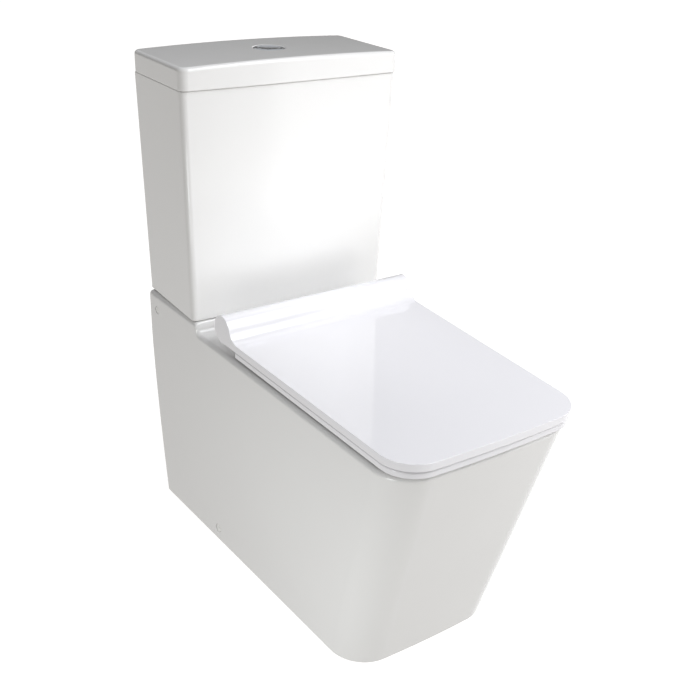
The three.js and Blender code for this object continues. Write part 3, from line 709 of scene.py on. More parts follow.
def rod_along_y(radius, start, end, x, z, segments=32):
    """A level rod from front to back, all in mm."""
    return rod_piece("rod", radius * MM, (x * MM, start * MM, z * MM), (x * MM, end * MM, z * MM), segments)


def shaft_along_z(radius, low, high, x, y=VALVE_Y, segments=48):
    return rod_piece("shaft", radius * MM, (x, y, low * MM), (x, y, high * MM), segments)


def make_pan():
    pan = pan_shell()
    combine(pan, [
        pan_hollow(),
        box_piece("rear_way", (-150, 331, -5), (150, 352, 360)),
    ], "DIFFERENCE")
    outlet_end = OUTLET_END_Y / MM
    spigot = [(0, 262), (OUTLET_R - 3, 262), (OUTLET_R - 3, 296), (OUTLET_R, 300), (OUTLET_R, outlet_end),
              (0, outlet_end)]
    combine(pan, [
        bowl_form(12 * MM, RIM_Z - 4 * MM),
        trap_form(TRAP_R + TRAP_WALL),
        turn_over(turned("spigot", spigot, 0.0, 0.0, 1.0, 56), -90, "X", (0.0, 0.0, OUTLET_Z)),
        box_piece("flush_way", (-33, 40, 336), (33, VALVE_Y / MM + 40, 378)),
        shaft_along_z(INLET_R / MM + 10, 336, PLATFORM_Z / MM - 4, 0.0),
    ], "UNION")
    cuts = [
        bowl_form(0.0, RIM_Z + 6 * MM, lip=8 * MM),
        trap_form(TRAP_R),
        rod_along_y(TRAP_R / MM + 4, 290, 325, 0, OUTLET_Z / MM, 56),
        box_piece("flush_bore", (-24, 20, 346), (24, VALVE_Y / MM, 368)),
        shaft_along_z(INLET_R / MM, PLATFORM_Z / MM - 30, PLATFORM_Z / MM + 2, 0.0, segments=64),
        shaft_along_z(28, 346, PLATFORM_Z / MM, 0.0),
        shaft_along_z(17, 390, PLATFORM_Z / MM + 2, FILL_X),
    ]
    for side in (-1, 1):
        cuts.append(shaft_along_z(7, 380, RIM_Z / MM + 4, side * HINGE_X, HINGE_Y, 32))
        cuts.append(shaft_along_z(7, 390, PLATFORM_Z / MM + 4, side * BOLT_X, segments=32))
    for cap, pocket_r, hole_r in (("side_cap_left", 8 * MM, 5 * MM), ("upper_cap_left", 6.6 * MM, 4 * MM)):
        for tool in side_hole(cap, pocket_r, hole_r):
            cuts += [tool, mirrored_copy(tool)]
    combine(pan, cuts, "DIFFERENCE")
    settle(pan, "pan", "pan_casting")


# ================================================================ cistern
def tank_ring(z, inset, wall=0.0):
    up = (z - TANK_LOW.z) / (TANK_HIGH.z - TANK_LOW.z)
    half = TANK_HALF_FOOT + (TANK_HIGH.x - TANK_HALF_FOOT) * up - wall
    depth_top = REAR_Y - TANK_LOW.y - TANK_BOW
    depth = TANK_DEPTH_FOOT + (depth_top - TANK_DEPTH_FOOT) * up
    radius = max(TANK_CORNER_R - wall, 5 * MM)
    points = plan_outline(half - inset, half - inset, REAR_Y - wall - inset, REAR_Y - depth + wall + inset,
                          radius - min(inset, radius / 2), TANK_REAR_R - min(inset, TANK_REAR_R / 2),
                          bow=TANK_BOW, front_steps=12, rear_steps=10, across=30, along=12)
    return at_height(points, z)


def make_tank():
    levels = rounded_levels(TANK_LOW.z, TANK_HIGH.z, 3 * MM, 1.6 * MM, middle=12, steps=5)
    tank = lofted("tank", [tank_ring(z, inset) for z, inset in levels])
    floor_z = TANK_LOW.z + TANK_FLOOR
    inner = rounded_levels(floor_z, TANK_HIGH.z + 4 * MM, 8 * MM, 0.0, middle=8, steps=5)
    low, high = TANK_LOW.z / MM - 3, floor_z / MM + 3
    cuts = [lofted("tank_inside", [tank_ring(z, inset, TANK_WALL) for z, inset in inner])]
    cuts += [shaft_along_z(31, low, high, 0.0), shaft_along_z(11.6, low, high, FILL_X)]
    cuts += [shaft_along_z(6, low, high, side * BOLT_X, segments=32) for side in (-1, 1)]
    combine(tank, cuts, "DIFFERENCE")
    settle(tank, "cistern_tank", "cistern_casting")


def cover_ring(z, inset, wall=0.0):
    half = COVER_HIGH.x - inset - wall
    rear, front = REAR_Y - inset - wall, COVER_LOW.y + TANK_BOW + inset + wall
    front_r, rear_r = 13 * MM - min(inset, 6 * MM), 12 * MM - min(inset, 6 * MM)
    return at_height(plan_outline(half, half, rear, front, front_r, rear_r, bow=TANK_BOW, front_steps=12,
                                  rear_steps=14, across=36, along=14), z)


def make_cover():
    radius = settings().cover_edge_radius
    side_top = COVER_HIGH.z - COVER_CROWN
    levels = rounded_levels(COVER_SIDE_Z, side_top, 1.4 * MM, radius, middle=4, steps=8)
    bm = bmesh.new()
    loft(bm, [cover_ring(z, inset) for z, inset in levels])
    for k in range(-17, 18):
        slice_through(bm, (10.5 * MM * k, 0, 0), (1, 0, 0))
    for vert in bm.verts:
        if vert.co.z > side_top - radius - 1e-6:
            vert.co.z += COVER_CROWN * (1 - (vert.co.x / COVER_HIGH.x) ** 2)
    cover = object_from(bm, "cover")
    lip_top = TANK_HIGH.z + 3 * MM
    lip = lofted("lip", [tank_ring(z, inset, TANK_WALL + 3 * MM) for z, inset in
                         rounded_levels(COVER_LOW.z, lip_top, 1.2 * MM, 0.0, steps=3)])
    combine(cover, [lip], "UNION")
    under_z = COVER_HIGH.z - 10 * MM
    top = COVER_HIGH.z / MM
    combine(cover, [
        lofted("lip_inside", [tank_ring(z, 0.0, TANK_WALL + 8 * MM)
                              for z in (COVER_LOW.z - 2 * MM, lip_top + 5 * MM)]),
        lofted("cover_hollow", [cover_ring(z, inset, 9 * MM) for z, inset in
                                rounded_levels(TANK_HIGH.z + 6 * MM, under_z, 0.0, 5 * MM, steps=5)]),
        turned("button_recess", [(0, top - 3), (25.4, top - 3), (25.4, top - 1.3), (27.5, top + 0.6),
                                 (27.5, top + 3), (0, top + 3)], soft=1.2),
        shaft_along_z(20.2, top - 15, top, 0.0),
    ], "DIFFERENCE")
    settle(cover, "cistern_lid", "cistern_cover_casting", sharp=38.0)


# ================================================================ buttons
def make_bezel():
    top = BEZEL_HIGH.z / MM
    low = BEZEL_LOW.z / MM
    profile = [(17.8, low), (19.7, low), (19.7, top - 3), (24.9, top - 3), (24.9, top - 1.2), (22.4, top),
               (19.2, top - 0.5), (17.8, top - 1.6)]
    bezel = turned("bezel", profile, soft=0.8)
    settle(bezel, "button_bezel", "button_surround")


def make_button(side, name):
    """One half of the round button, cut from a slightly dished disc."""
    low, high = node_box(f"button_{name}")
    radius, edge = 17.4, 0.45 * MM
    top = high.z / MM
    dish = [(0, top - 1.3), (6, top - 1.15), (12, top - 0.6), (15.6, top), (radius, top - 0.9)]
    profile = [(0, low.z / MM), (radius, low.z / MM), *reversed(dish)]
    disc = turned("disc", profile, soft=0.9, segments=72)
    bm = bmesh.new()
    bm.from_mesh(disc.data)
    bpy.data.objects.remove(disc)
    away = Vector((side * math.cos(BUTTON_TURN), -side * math.sin(BUTTON_TURN), 0.0))
    cut = slice_through(bm, Vector((0.0, VALVE_Y, 0.0)) + away * edge, away, clear_inner=True)
    rim = [item for item in cut["geom_cut"] if isinstance(item, bmesh.types.BMEdge)]
    bmesh.ops.edgeloop_fill(bm, edges=rim)
    edges = [edge for edge in rim if edge.is_valid and edge.verts[0].co.z > high.z - 4 * MM
             and edge.verts[1].co.z > high.z - 4 * MM]
    round_edges(bm, edges, 0.5 * MM)
    button = object_from(bm, f"{name}_half")
    settle(button, f"button_{name}", f"{name}_flush_button")


# ================================================================ seat ring and lid
def seat_half(y):
    back, front = HINGE_Y, SEAT_FRONT_Y
    return SEAT_REAR_HALF + (SEAT_FRONT_HALF - SEAT_REAR_HALF) * (back - y) / (back - front)


def seat_ring_row(z, inset, rear_y, corner_r=10 * MM):
    points = plan_outline(seat_half(rear_y) - inset, SEAT_FRONT_HALF - inset, rear_y - inset,
                          SEAT_FRONT_Y + inset, SEAT_CORNER_R - inset, max(corner_r - inset, 2 * MM),
                          bow=FRONT_BOW, front_steps=settings().arc_steps, rear_steps=8, across=30, along=20)
    return at_height(points, z)


def seat_hole_row(z, inset):
    points = plan_outline(HOLE_REAR_HALF - inset, HOLE_FRONT_HALF - inset, HOLE_REAR_Y - inset,
                          HOLE_FRONT_Y + inset, HOLE_FRONT_R - inset, HOLE_REAR_R - inset,
                          front_steps=22, rear_steps=16, across=12, along=16)
    return at_height(points, z)


def upright_outline(bottom_z):
    """Side view of a post or lug: square below, round about the hinge line."""
    arc = [(HINGE_Y + POST_HALF * math.cos(a), HINGE_Z + POST_HALF * math.sin(a))
           for a in (math.pi * k / 20 for k in range(21))]
    return [(HINGE_Y - POST_HALF, bottom_z), (HINGE_Y + POST_HALF, bottom_z), *arc]


def pin_bore():
    return rod_piece("pin_bore", PIN_BORE_R, (-130 * MM, HINGE_Y, HINGE_Z), (130 * MM, HINGE_Y, HINGE_Z), 48)


def make_ring():
    low, high = RING_LOW.z, LID_UNDER_Z - 2 * MM
    levels = rounded_levels(low, high, 1.6 * MM, 3.2 * MM, steps=6)
    ring = lofted("ring", [seat_ring_row(z, inset + 2.5 * MM, RING_REAR_Y + 2.5 * MM) for z, inset in levels])
    lugs = []
    for side in (-1, 1):
        x0, x1 = sorted((side * LUG_X[0], side * LUG_X[1]))
        lugs.append(extruded_across("lug", upright_outline(low + 0.05 * MM), x0, x1, bevel=1.2 * MM))
        lugs.append(box_piece("link", (x0 / MM + 0.1, RING_REAR_Y / MM - 8, low / MM + 0.1),
                              (x1 / MM - 0.1, HINGE_Y / MM - 8, high / MM - 0.1)))
    combine(ring, lugs, "UNION")
    flare = 5 * MM
    hole = [(low - 2 * MM, 0.0), (low + 1 * MM, 0.0), (high - flare, 0.0)]
    hole += [(high - flare + flare * math.sin(a), -flare * (1 - math.cos(a)))
             for a in (math.radians(80) * k / 8 for k in range(1, 9))]
    hole.append((high + 1 * MM, -flare * 2))
    opening = lofted("ring_hole", [seat_hole_row(z, inset) for z, inset in hole])
    combine(ring, [opening, pin_bore()], "DIFFERENCE")
    settle(ring, "seat_ring", "seat_ring_moulding")


def lid_outline():
    """Side view of the lid: a thin panel that sweeps up into the roll over the hinges."""
    arc = [(HINGE_Y + ROLL_R * math.cos(a), HINGE_Z + ROLL_R * math.sin(a))
           for a in (math.radians(-70 + 238 * k / 46) for k in range(47))]
    end = Vector(arc[-1])
    bend, foot = Vector((HINGE_Y - 27 * MM, LID_TOP_Z + 1 * MM)), Vector((ROLL_FOOT_Y, LID_TOP_Z))
    sweep = []
    for k in range(1, 15):
        t = k / 14
        sweep.append(tuple(end * (1 - t) ** 2 + bend * 2 * t * (1 - t) + foot * t ** 2))
    under = [(HINGE_Y + 4 * MM, LID_UNDER_Z - 1.2 * MM), (HINGE_Y - 10 * MM, LID_UNDER_Z)]
    front = LID_LOW.y - 20 * MM
    return [(front, LID_UNDER_Z), *reversed(under), *arc, *sweep, (front, LID_TOP_Z)]


def lid_plan():
    """A prism of the lid's plan, down past its roll."""
    rear_y = HINGE_Y + 40 * MM
    return lofted("lid_plan", [seat_ring_row(z, 0.0, rear_y, 4 * MM) for z in (LID_UNDER_Z - 30 * MM, 0.5)])


def slot_tools():
    """The room that a post and a lug need inside the roll as the lid swings."""
    clear, reach, last = POST_HALF + 1.5 * MM, 48 * MM, math.radians(104)

    def from_axis(along, across, turn):
        y = math.sin(turn) * along + math.cos(turn) * across
        z = -math.cos(turn) * along + math.sin(turn) * across
        return HINGE_Y + y, HINGE_Z + z

    span = math.hypot(clear, reach)
    start = math.atan2(-clear, reach)
    fan = [from_axis(0, -clear, 0)]
    fan += [from_axis(span, 0, start + (last - 2 * start) * k / 24) for k in range(25)]
    fan += [from_axis(0, clear, last)]
    tools = []
    for side in (-1, 1):
        x0, x1 = sorted((side * SLOT_X[0], side * SLOT_X[1]))
        tools.append(rod_piece("slot_round", 18.5 * MM, (x0, HINGE_Y, HINGE_Z), (x1, HINGE_Y, HINGE_Z), 56))
        tools.append(extruded_across("slot_fan", fan, x0, x1))
    return tools


def make_lid():
    radius = settings().lid_edge_radius
    lid = extruded_across("lid", lid_outline(), -180 * MM, 180 * MM)
    combine(lid, [lid_plan()], "INTERSECT")
    bm = bmesh.new()
    bm.from_mesh(lid.data)
    bmesh.ops.remove_doubles(bm, verts=bm.verts, dist=1e-5)

    def is_wall(face):
        middle = face.calc_center_median()
        return abs(face.normal.z) < 0.2 and (abs(face.normal.x) > 0.2 or middle.y < -0.2)

    rim = [edge for edge in bm.edges
           if edge.is_manifold and is_wall(edge.link_faces[0]) != is_wall(edge.link_faces[1])
           and edge.calc_face_angle(0.0) > math.radians(40)]
    round_edges(bm, rim, radius, segments=5, clamp_overlap=True)
    bm.to_mesh(lid.data)
    bm.free()
    recess = [
        seat_ring_row(LID_UNDER_Z + rise * MM, inset * MM, ROLL_FOOT_Y + 6 * MM, 12 * MM)
        for rise, inset in ((-5, 9), (2, 9), (3.5, 10.5))
    ]
    tools = [lofted("lid_recess", recess)]
    combine(lid, tools + slot_tools() + [pin_bore()], "DIFFERENCE")
    settle(lid, "seat_lid", "seat_lid_moulding")
# ================================================================ fittings
FILL_X_MM = FILL_X / MM
VALVE_Y_MM = VALVE_Y / MM
THREAD_DEPTH = 0.55               # mm, half of it as crest and half as root


def middle_of(node):
    low, high = node_box(node)
    return (low + high) / 2


def heights_of(node):
    """Lowest and highest point of a node in mm."""
    low, high = node_box(node)
    return low.z / MM, high.z / MM


def threaded(radius, low, high, pitch=1.5):
    """Profile points up a threaded shank: crests and roots between two heights."""
    count = max(1, round((high - low) / pitch))
    step = (high - low) / count
    points = []
    for k in range(count):
        points += [(radius, low + step * (k + 0.3)), (radius - THREAD_DEPTH, low + step * (k + 0.8))]
    return points


def turned_along_x(name, profile, y, z, soft=0.4, segments=48):
    """A piece turned about a level axis from side to side; the profile is (radius, x) in mm."""
    return turn_over(turned(name, profile, 0.0, 0.0, soft, segments), 90, "Y", (0.0, y, z))


def extruded_along_y(name, outline, y0, y1, bevel=0.0):
    """An (x, z) outline in mm extruded from front to back, with softened ends."""
    piece = extruded_across(name, [(-x * MM, z * MM) for x, z in outline], y0 * MM, y1 * MM, bevel * MM)
    return turn_over(piece, 90, "Z")


def washer(inner, outer, low, high):
    return [(inner, low), (outer, low), (outer, high), (inner, high)]


def nut_piece(name, across, bore, low, high, x=0.0, sides=6, y=VALVE_Y):
    """A nut with chamfered corners and a round bore."""
    flat, chamfer = across * 0.93, across * 0.07
    profile = [(0, low), (flat, low), (across, low + chamfer), (across, high - chamfer), (flat, high), (0, high)]
    blank = turned(name, profile, x, y, 0.3, sides)
    return combine(blank, [shaft_along_z(bore, low - 2, high + 2, x, y, 56)], "DIFFERENCE")


def make_caps():
    for stem, outer_r, stem_r in (("side_cap", 7.5, 4.6), ("upper_cap", 6.1, 3.6)):
        low, high = node_box(f"{stem}_right")
        start, end = low.x / MM, high.x / MM
        profile = [(0, start), (stem_r - 0.6, start), (stem_r, start + 1), (stem_r, end - 1.7),
                   (outer_r, end - 1.7), (outer_r, end - 0.7), (outer_r * 0.7, end - 0.1), (0, end)]
        middle = (low + high) / 2
        settle_pair(turned_along_x("cap", profile, middle.y, middle.z, 0.35), stem)


def make_floor_fixings():
    cap = middle_of("side_cap_right")
    y, z = cap.y / MM, cap.z / MM
    low, high = node_box("side_screw_right")
    start, end = low.x / MM, high.x / MM
    screw = [(0, start), (1.2, start), *threaded(2.4, start + 1.5, end - 2.6, 1.3), (4.2, end - 2.5),
             (4.1, end - 1.2), (2.9, end - 0.2), (0, end)]
    screw = turned_along_x("screw", screw, cap.y, cap.z, 0.15, 32)
    for turn in (0, 90):
        slot = box_piece("driver", (end - 1.1, -2.2, -0.4), (end + 1, 2.2, 0.4), 0.1)
        combine(screw, [turn_over(slot, turn, "X", (0.0, cap.y, cap.z))], "DIFFERENCE")
    settle_pair(screw, "side_screw")
    low, high = node_box("floor_bracket_right")
    x0, x1, top = low.x / MM, high.x / MM, high.z / MM
    quarter = [math.pi / 10 * k for k in range(6)]
    bend = [(x1 - 3 - 2 * (1 - math.sin(a)), 3 + 2 * (1 - math.cos(a))) for a in quarter]
    outer = [(x1 - 4 * (1 - math.sin(a)), 4 * (1 - math.cos(a))) for a in quarter]
    outline = [(x0, 0), *outer, (x1, top), (x1 - 3, top), *reversed(bend), (x0, 3)]
    bracket = extruded_along_y("bracket", outline, y - 20, y + 20, 0.5)
    combine(bracket, [
        rod_piece("hole", 3.2 * MM, (140 * MM, y * MM, z * MM), (150 * MM, y * MM, z * MM), 32),
        rod_piece("hole", 3.2 * MM, (126 * MM, y * MM, -2 * MM), (126 * MM, y * MM, 6 * MM), 32),
    ], "DIFFERENCE")
    settle_pair(bracket, "floor_bracket")


def make_coupling():
    low, high = heights_of("coupling_gasket")
    gasket = [(39, low), (45.2, low)]
    for k in range(5):
        rib = low + (high - low) * (k + 0.5) / 5
        gasket += [(45.2, rib - 1.8), (46, rib - 1), (46, rib + 1), (45.2, rib + 1.8)]
    settle(turned("gasket", [*gasket, (45.2, high), (39, high)], soft=0.3), "coupling_gasket")
    x = BOLT_X / MM
    low, high = heights_of("coupling_bolt_right")
    bolt = nut_piece("bolt", 9, 2.0, high - 5.4, high, BOLT_X)
    shank = [(0, low), (3.2, low), *threaded(4.0, low + 0.8, high - 16), (4, high - 15), (4, high - 2),
             (0, high - 2)]
    shank = turned("shank", shank, BOLT_X, soft=0.15, segments=32)
    settle_pair(combine(bolt, [shank], "UNION"), "coupling_bolt")
    low, high = heights_of("bolt_seal_right")
    seal = [(4.4, low), (12, low), (11.7, low + 1.5), (10, high), (4.4, high)]
    settle_pair(turned("seal", seal, BOLT_X, soft=0.6), "bolt_seal")
    low, high = heights_of("platform_washer_right")
    settle_pair(turned("washer", washer(4.4, 13, low, high), BOLT_X, soft=0.5), "platform_washer")
    low, high = heights_of("wing_nut_right")
    hub = [(0, low + 6), (7.2, low + 6), (8.5, high - 4), (8.5, high), (0, high)]
    hub = turned("hub", hub, BOLT_X, soft=0.8)
    half_wing = [(6, 9), (12, 1), (16, 0), (19, 3), (19, 9), (15, 13), (6, 14)]
    wing = [(x - out, low + up) for out, up in half_wing]
    wing += [(x + out, low + up) for out, up in reversed(half_wing)]
    wings = extruded_along_y("wings", wing, VALVE_Y_MM - 2, VALVE_Y_MM + 2, 0.8)
    combine(hub, [wings], "UNION")
    settle_pair(combine(hub, [shaft_along_z(4.4, low, high + 3, BOLT_X)], "DIFFERENCE"), "wing_nut")


def rod_place(side):
    """Where a push rod and its plunger stand: on a line square to the button's split."""
    return (side * 9 * MM * math.cos(BUTTON_TURN), VALVE_Y - side * 9 * MM * math.sin(BUTTON_TURN))


def make_flush_valve():
    low, high = heights_of("flush_valve_washer")
    settle(turned("washer", washer(31, 42, low, high), soft=0.7), "flush_valve_washer")
    low, high = heights_of("flush_valve_base")
    flange = high - 4
    base = [(24, low), (27.6, low), *threaded(28.5, low + 1, flange - 13, 2.4), (28.5, flange - 12),
            (28.5, flange), (42, flange), (42, high - 0.8), (31, high - 0.6), (28, high), (24, high)]
    settle(turned("base", base, soft=0.3), "flush_valve_base")
    low, high = heights_of("flush_valve_nut")
    settle(nut_piece("nut", 37.5, 28.9, low, high), "flush_valve_nut")
    low, high = heights_of("flush_valve_tower")
    skin = 35.2
    shell = [(33, low), (36, low), (36, low + 3), (skin, low + 4)]
    for band in (low + 42, (low + high) / 2, high - 30):
        shell += [(skin, band - 2.6), (36, band - 1.8), (36, band + 1.8), (skin, band + 2.6)]
    shell += [(skin, high - 3), (skin - 2, high), (0, high), (0, high - 3), (33, high - 3)]
    tower = turned("tower", shell, soft=0.6)
    y = VALVE_Y_MM
    tools = [box_piece("window", (-45, y - 16, low + 5.7), (45, y + 16, low + 33.7), 4),
             box_piece("window", (-16, y - 45, low + 5.7), (16, y + 45, low + 33.7), 4)]
    tools += [shaft_along_z(5, high - 10, high + 10, *rod_place(side)) for side in (-1, 1)]
    settle(combine(tower, tools, "DIFFERENCE"), "flush_valve_tower")
    low, high = heights_of("flush_seal")
    settle(turned("seal", washer(15, 28, low, high), soft=0.8), "flush_seal")
    low, high = heights_of("overflow_tube")
    tube = [(9.5, low), (27, low), (27, low + 3), (25, low + 4), (14, low + 4), (12, low + 9), (12, high - 6),
            (12, high), (9.5, high)]
    settle(turned("tube", tube, soft=0.6), "overflow_tube")
    for side, name in ((1, "full"), (-1, "half")):
        x, rod_y = rod_place(side)
        low, high = heights_of(f"plunger_{name}")
        plunger = [(0, low), (3.2, low), (4, low + 1.2), (4, high - 4), (3.4, high - 3), (3.4, high - 2),
                   (4, high - 1.4), (4, high), (0, high)]
        settle(turned("plunger", plunger, x, rod_y, 0.3, 32), f"plunger_{name}")
        low, high = heights_of(f"push_rod_{name}")
        rod = [(0, low), (2.4, low), (3, low + 1.2), (3, high - 32), *threaded(3.0, high - 31, high - 1, 1.5),
               (2.4, high), (0, high)]
        settle(turned("rod", rod, x, rod_y, 0.15, 32), f"push_rod_{name}")
    low, high = heights_of("button_nut")
    settle(nut_piece("nut", 28, 20.6, low, high, sides=8), "button_nut")


def make_fill_valve():
    x, y = FILL_X_MM, VALVE_Y_MM
    low, high = heights_of("fill_valve_washer")
    settle(turned("washer", washer(11, 17, low, high), FILL_X, soft=0.7), "fill_valve_washer")
    low, high = heights_of("fill_valve_column")
    flange = heights_of("fill_valve_washer")[1] + 0.3
    column = [(5, low), (9.4, low), *threaded(10.4, low + 1, flange - 6, 1.8), (10.4, flange - 5),
              (10.4, flange), (17, flange), (17, flange + 4), (10.5, flange + 4), (9, flange + 6)]
    for band in (500.0, 560.0, 620.0):
        column += [(9, band - 2), (9.8, band - 1.4), (9.8, band + 1.4), (9, band + 2)]
    column = turned("column", [*column, (9, high), (5, high)], FILL_X, soft=0.3, segments=48)
    settle(column, "fill_valve_column")
    low, high = heights_of("fill_valve_nut")
    settle(nut_piece("nut", 15.5, 10.8, low, high, FILL_X), "fill_valve_nut")
    low, high = heights_of("fill_valve_head")
    cap_top = low + 21.7
    cap = [(0, low), (14.5, low), (16, low + 1.5)]
    for k in range(3):
        groove = low + 5 + 4.5 * k
        cap += [(16, groove), (15.2, groove + 0.6), (15.2, groove + 1.6), (16, groove + 2.2)]
    cap = turned("cap", [*cap, (16, cap_top - 2), (14, cap_top), (0, cap_top)], FILL_X, soft=0.5, segments=48)
    ears = [box_piece("ear", (x - 6, ear_y - 1.5, cap_top - 2), (x + 6, ear_y + 1.5, high), 0.5)
            for ear_y in (y - 6, y + 6)]
    combine(cap, ears, "UNION")
    pivot_z = high - 6
    settle(combine(cap, [rod_along_y(2.6, y - 10, y + 10, x, pivot_z)], "DIFFERENCE"), "fill_valve_head")
    low, high = node_box("fill_lever")
    tip = x + 26
    arm = box_piece("arm", (low.x / MM, y - 3.5, low.z / MM), (high.x / MM, y + 3.5, high.z / MM), 1.2)
    combine(arm, [rod_along_y(2.2, y - 8.5, y + 8.5, x, pivot_z)], "UNION")
    settle(combine(arm, [rod_along_y(3.4, y - 6, y + 6, tip, pivot_z)], "DIFFERENCE"), "fill_lever")
    low, high = heights_of("fill_float")
    brim = low + 42
    cup = [(10, low), (26, low), (28, low + 2), (28, brim - 3), (28, brim), (25, brim), (25, low + 4),
           (13, low + 4), (13, brim), (10, brim)]
    cup = turned("cup", cup, FILL_X, soft=0.8)
    link = shaft_along_z(1.5, brim - 5, pivot_z + 1.5, tip * MM, VALVE_Y + 7 * MM, 24)
    hook = rod_along_y(1.5, y - 6, y + 7, tip, pivot_z, 24)
    foot = box_piece("foot", (tip - 2, y, brim - 6), (tip + 2, y + 10, brim - 0.2), 0.5)
    settle(combine(cup, [foot, link, hook], "UNION"), "fill_float")


def make_hinges():
    low, _ = heights_of("hinge_post_right")
    x0, x1 = HINGE_X - POST_HALF, HINGE_X + POST_HALF
    post = extruded_across("post", upright_outline(low * MM), x0, x1, bevel=1.5 * MM)
    combine(post, [pin_bore(), shaft_along_z(6.4, low - 2, 414, HINGE_X, HINGE_Y, 40)], "DIFFERENCE")
    settle_pair(post, "hinge_post")
    low, high = node_box("hinge_pin_right")
    start, end = low.x / MM, high.x / MM
    pin = [(0, start), (4.6, start), (6, start + 1.4), (6, end - 1.4), (4.6, end), (0, end)]
    settle_pair(turned_along_x("pin", pin, HINGE_Y, HINGE_Z, 0.3), "hinge_pin")
    low, high = heights_of("hinge_bolt_right")
    bolt = [(0, low), (2.4, low), *threaded(3.0, low + 0.8, high - 15, 1.2), (3, high - 14), (3, high - 13.3),
            (6, high - 13.3), (6, high - 0.8), (5.2, high), (0, high)]
    bolt = turned("bolt", bolt, HINGE_X, HINGE_Y, 0.15, 32)
    socket = [(0, high - 4), (2.8, high - 4), (2.8, high + 2), (0, high + 2)]
    socket = turned("socket", socket, HINGE_X, HINGE_Y, 0.0, 6)
    settle_pair(combine(bolt, [socket], "DIFFERENCE"), "hinge_bolt")
    low, high = heights_of("hinge_plug_right")
    plug = [(3.4, low), (10, low)]
    for k in range(4):
        rib = low + 3 + 4.4 * k
        plug += [(10.1 + 0.2 * k, rib), (9.2 + 0.2 * k, rib + 1.6), (10.2 + 0.2 * k, rib + 3)]
    plug += [(11, high - 14), (6.6, high - 14), (6.6, high), (3.4, high)]
    settle_pair(turned("plug", plug, HINGE_X, HINGE_Y, 0.3, 40), "hinge_plug")


def make_pads():
    names = [f"seat_buffer_{row}" for row in ("front", "rear")] + ["lid_buffer"]
    for stem in names:
        low, high = node_box(f"{stem}_right")
        middle = (low + high) / 2
        z0, z1, radius = low.z / MM, high.z / MM, (high.x - low.x) / 2 / MM
        pad = [(0, z0), (radius * 0.9, z0), (radius, z0 + (z1 - z0) * 0.6), (radius, z1), (0, z1)]
        settle_pair(turned("pad", pad, middle.x, middle.y, 0.4, 40), stem)


# ================================================================ stage
CAMERA_PLACE = (-0.7753, -1.1021, 1.0781)
CAMERA_YAW = math.radians(35.022)
CAMERA_PITCH = math.radians(26.642)
CAMERA_ROLL = math.radians(2.381)
LENS_MM = 49.97


def make_camera():
    data = bpy.data.cameras.new("camera")
    data.lens = LENS_MM
    data.sensor_width = 36.0
    data.clip_end = 100.0
    camera = bpy.data.objects.new("camera", data)
    bpy.context.scene.collection.objects.link(camera)
    level = math.cos(CAMERA_PITCH)
    forward = Vector((math.sin(CAMERA_YAW) * level, math.cos(CAMERA_YAW) * level, -math.sin(CAMERA_PITCH)))
    turn = forward.to_track_quat("-Z", "Y").to_matrix() @ Matrix.Rotation(CAMERA_ROLL, 3, "Z")
    camera.matrix_world = Matrix.Translation(CAMERA_PLACE) @ turn.to_4x4()
    bpy.context.scene.camera = camera


def soft_box(name, place, aim, size, power, colour):
    """A rectangular studio light turned towards a point."""
    data = bpy.data.lights.new(name, "AREA")
    data.shape = "RECTANGLE"
    data.size, data.size_y = size
    data.energy = power
    data.color = colour
    light = bpy.data.objects.new(name, data)
    bpy.context.scene.collection.objects.link(light)
    turn = (Vector(aim) - Vector(place)).to_track_quat("-Z", "Y").to_matrix().to_4x4()
    light.matrix_world = Matrix.Translation(place) @ turn
    return light


def make_world():
    """Soft light from all round: a pale bounce from below, a dim band at eye level and a soft sky."""
    world = bpy.data.worlds.new("studio")
    bpy.context.scene.world = world
    world.use_nodes = True
    tree = world.node_tree
    background = next(node for node in tree.nodes if node.type == "BACKGROUND")
    place = tree.nodes.new("ShaderNodeTexCoord").outputs["Generated"]
    split = tree.nodes.new("ShaderNodeSeparateXYZ")
    tree.links.new(place, split.inputs["Vector"])
    height = spread(tree, split.outputs["Z"], 0.0, 1.0, -1.0, 1.0)
    ramp = tree.nodes.new("ShaderNodeValToRGB")
    stops = ramp.color_ramp
    bands = [(0.0, (0.74, 0.725, 0.70)), (0.497, (0.74, 0.725, 0.70)), (0.503, (0.04, 0.035, 0.03)),
             (0.60, (0.05, 0.045, 0.04)), (0.71, (0.48, 0.48, 0.49)), (1.0, (0.50, 0.51, 0.53))]
    stops.elements[0].position, stops.elements[1].position = bands[0][0], bands[-1][0]
    for position, _ in bands[1:-1]:
        stops.elements.new(position)
    for stop, (_, colour) in zip(stops.elements, bands):
        stop.color = (*colour, 1.0)
    tree.links.new(height, ramp.inputs["Fac"])
    pale = tree.nodes.new("ShaderNodeMix")
    pale.data_type = "RGBA"
    pale.inputs[7].default_value = (1.0, 0.995, 0.985, 1.0)
    tree.links.new(tree.nodes.new("ShaderNodeLightPath").outputs["Is Camera Ray"], pale.inputs[0])
    tree.links.new(ramp.outputs["Color"], pale.inputs[6])
    tree.links.new(pale.outputs[2], background.inputs["Color"])
    background.inputs["Strength"].default_value = 1.0


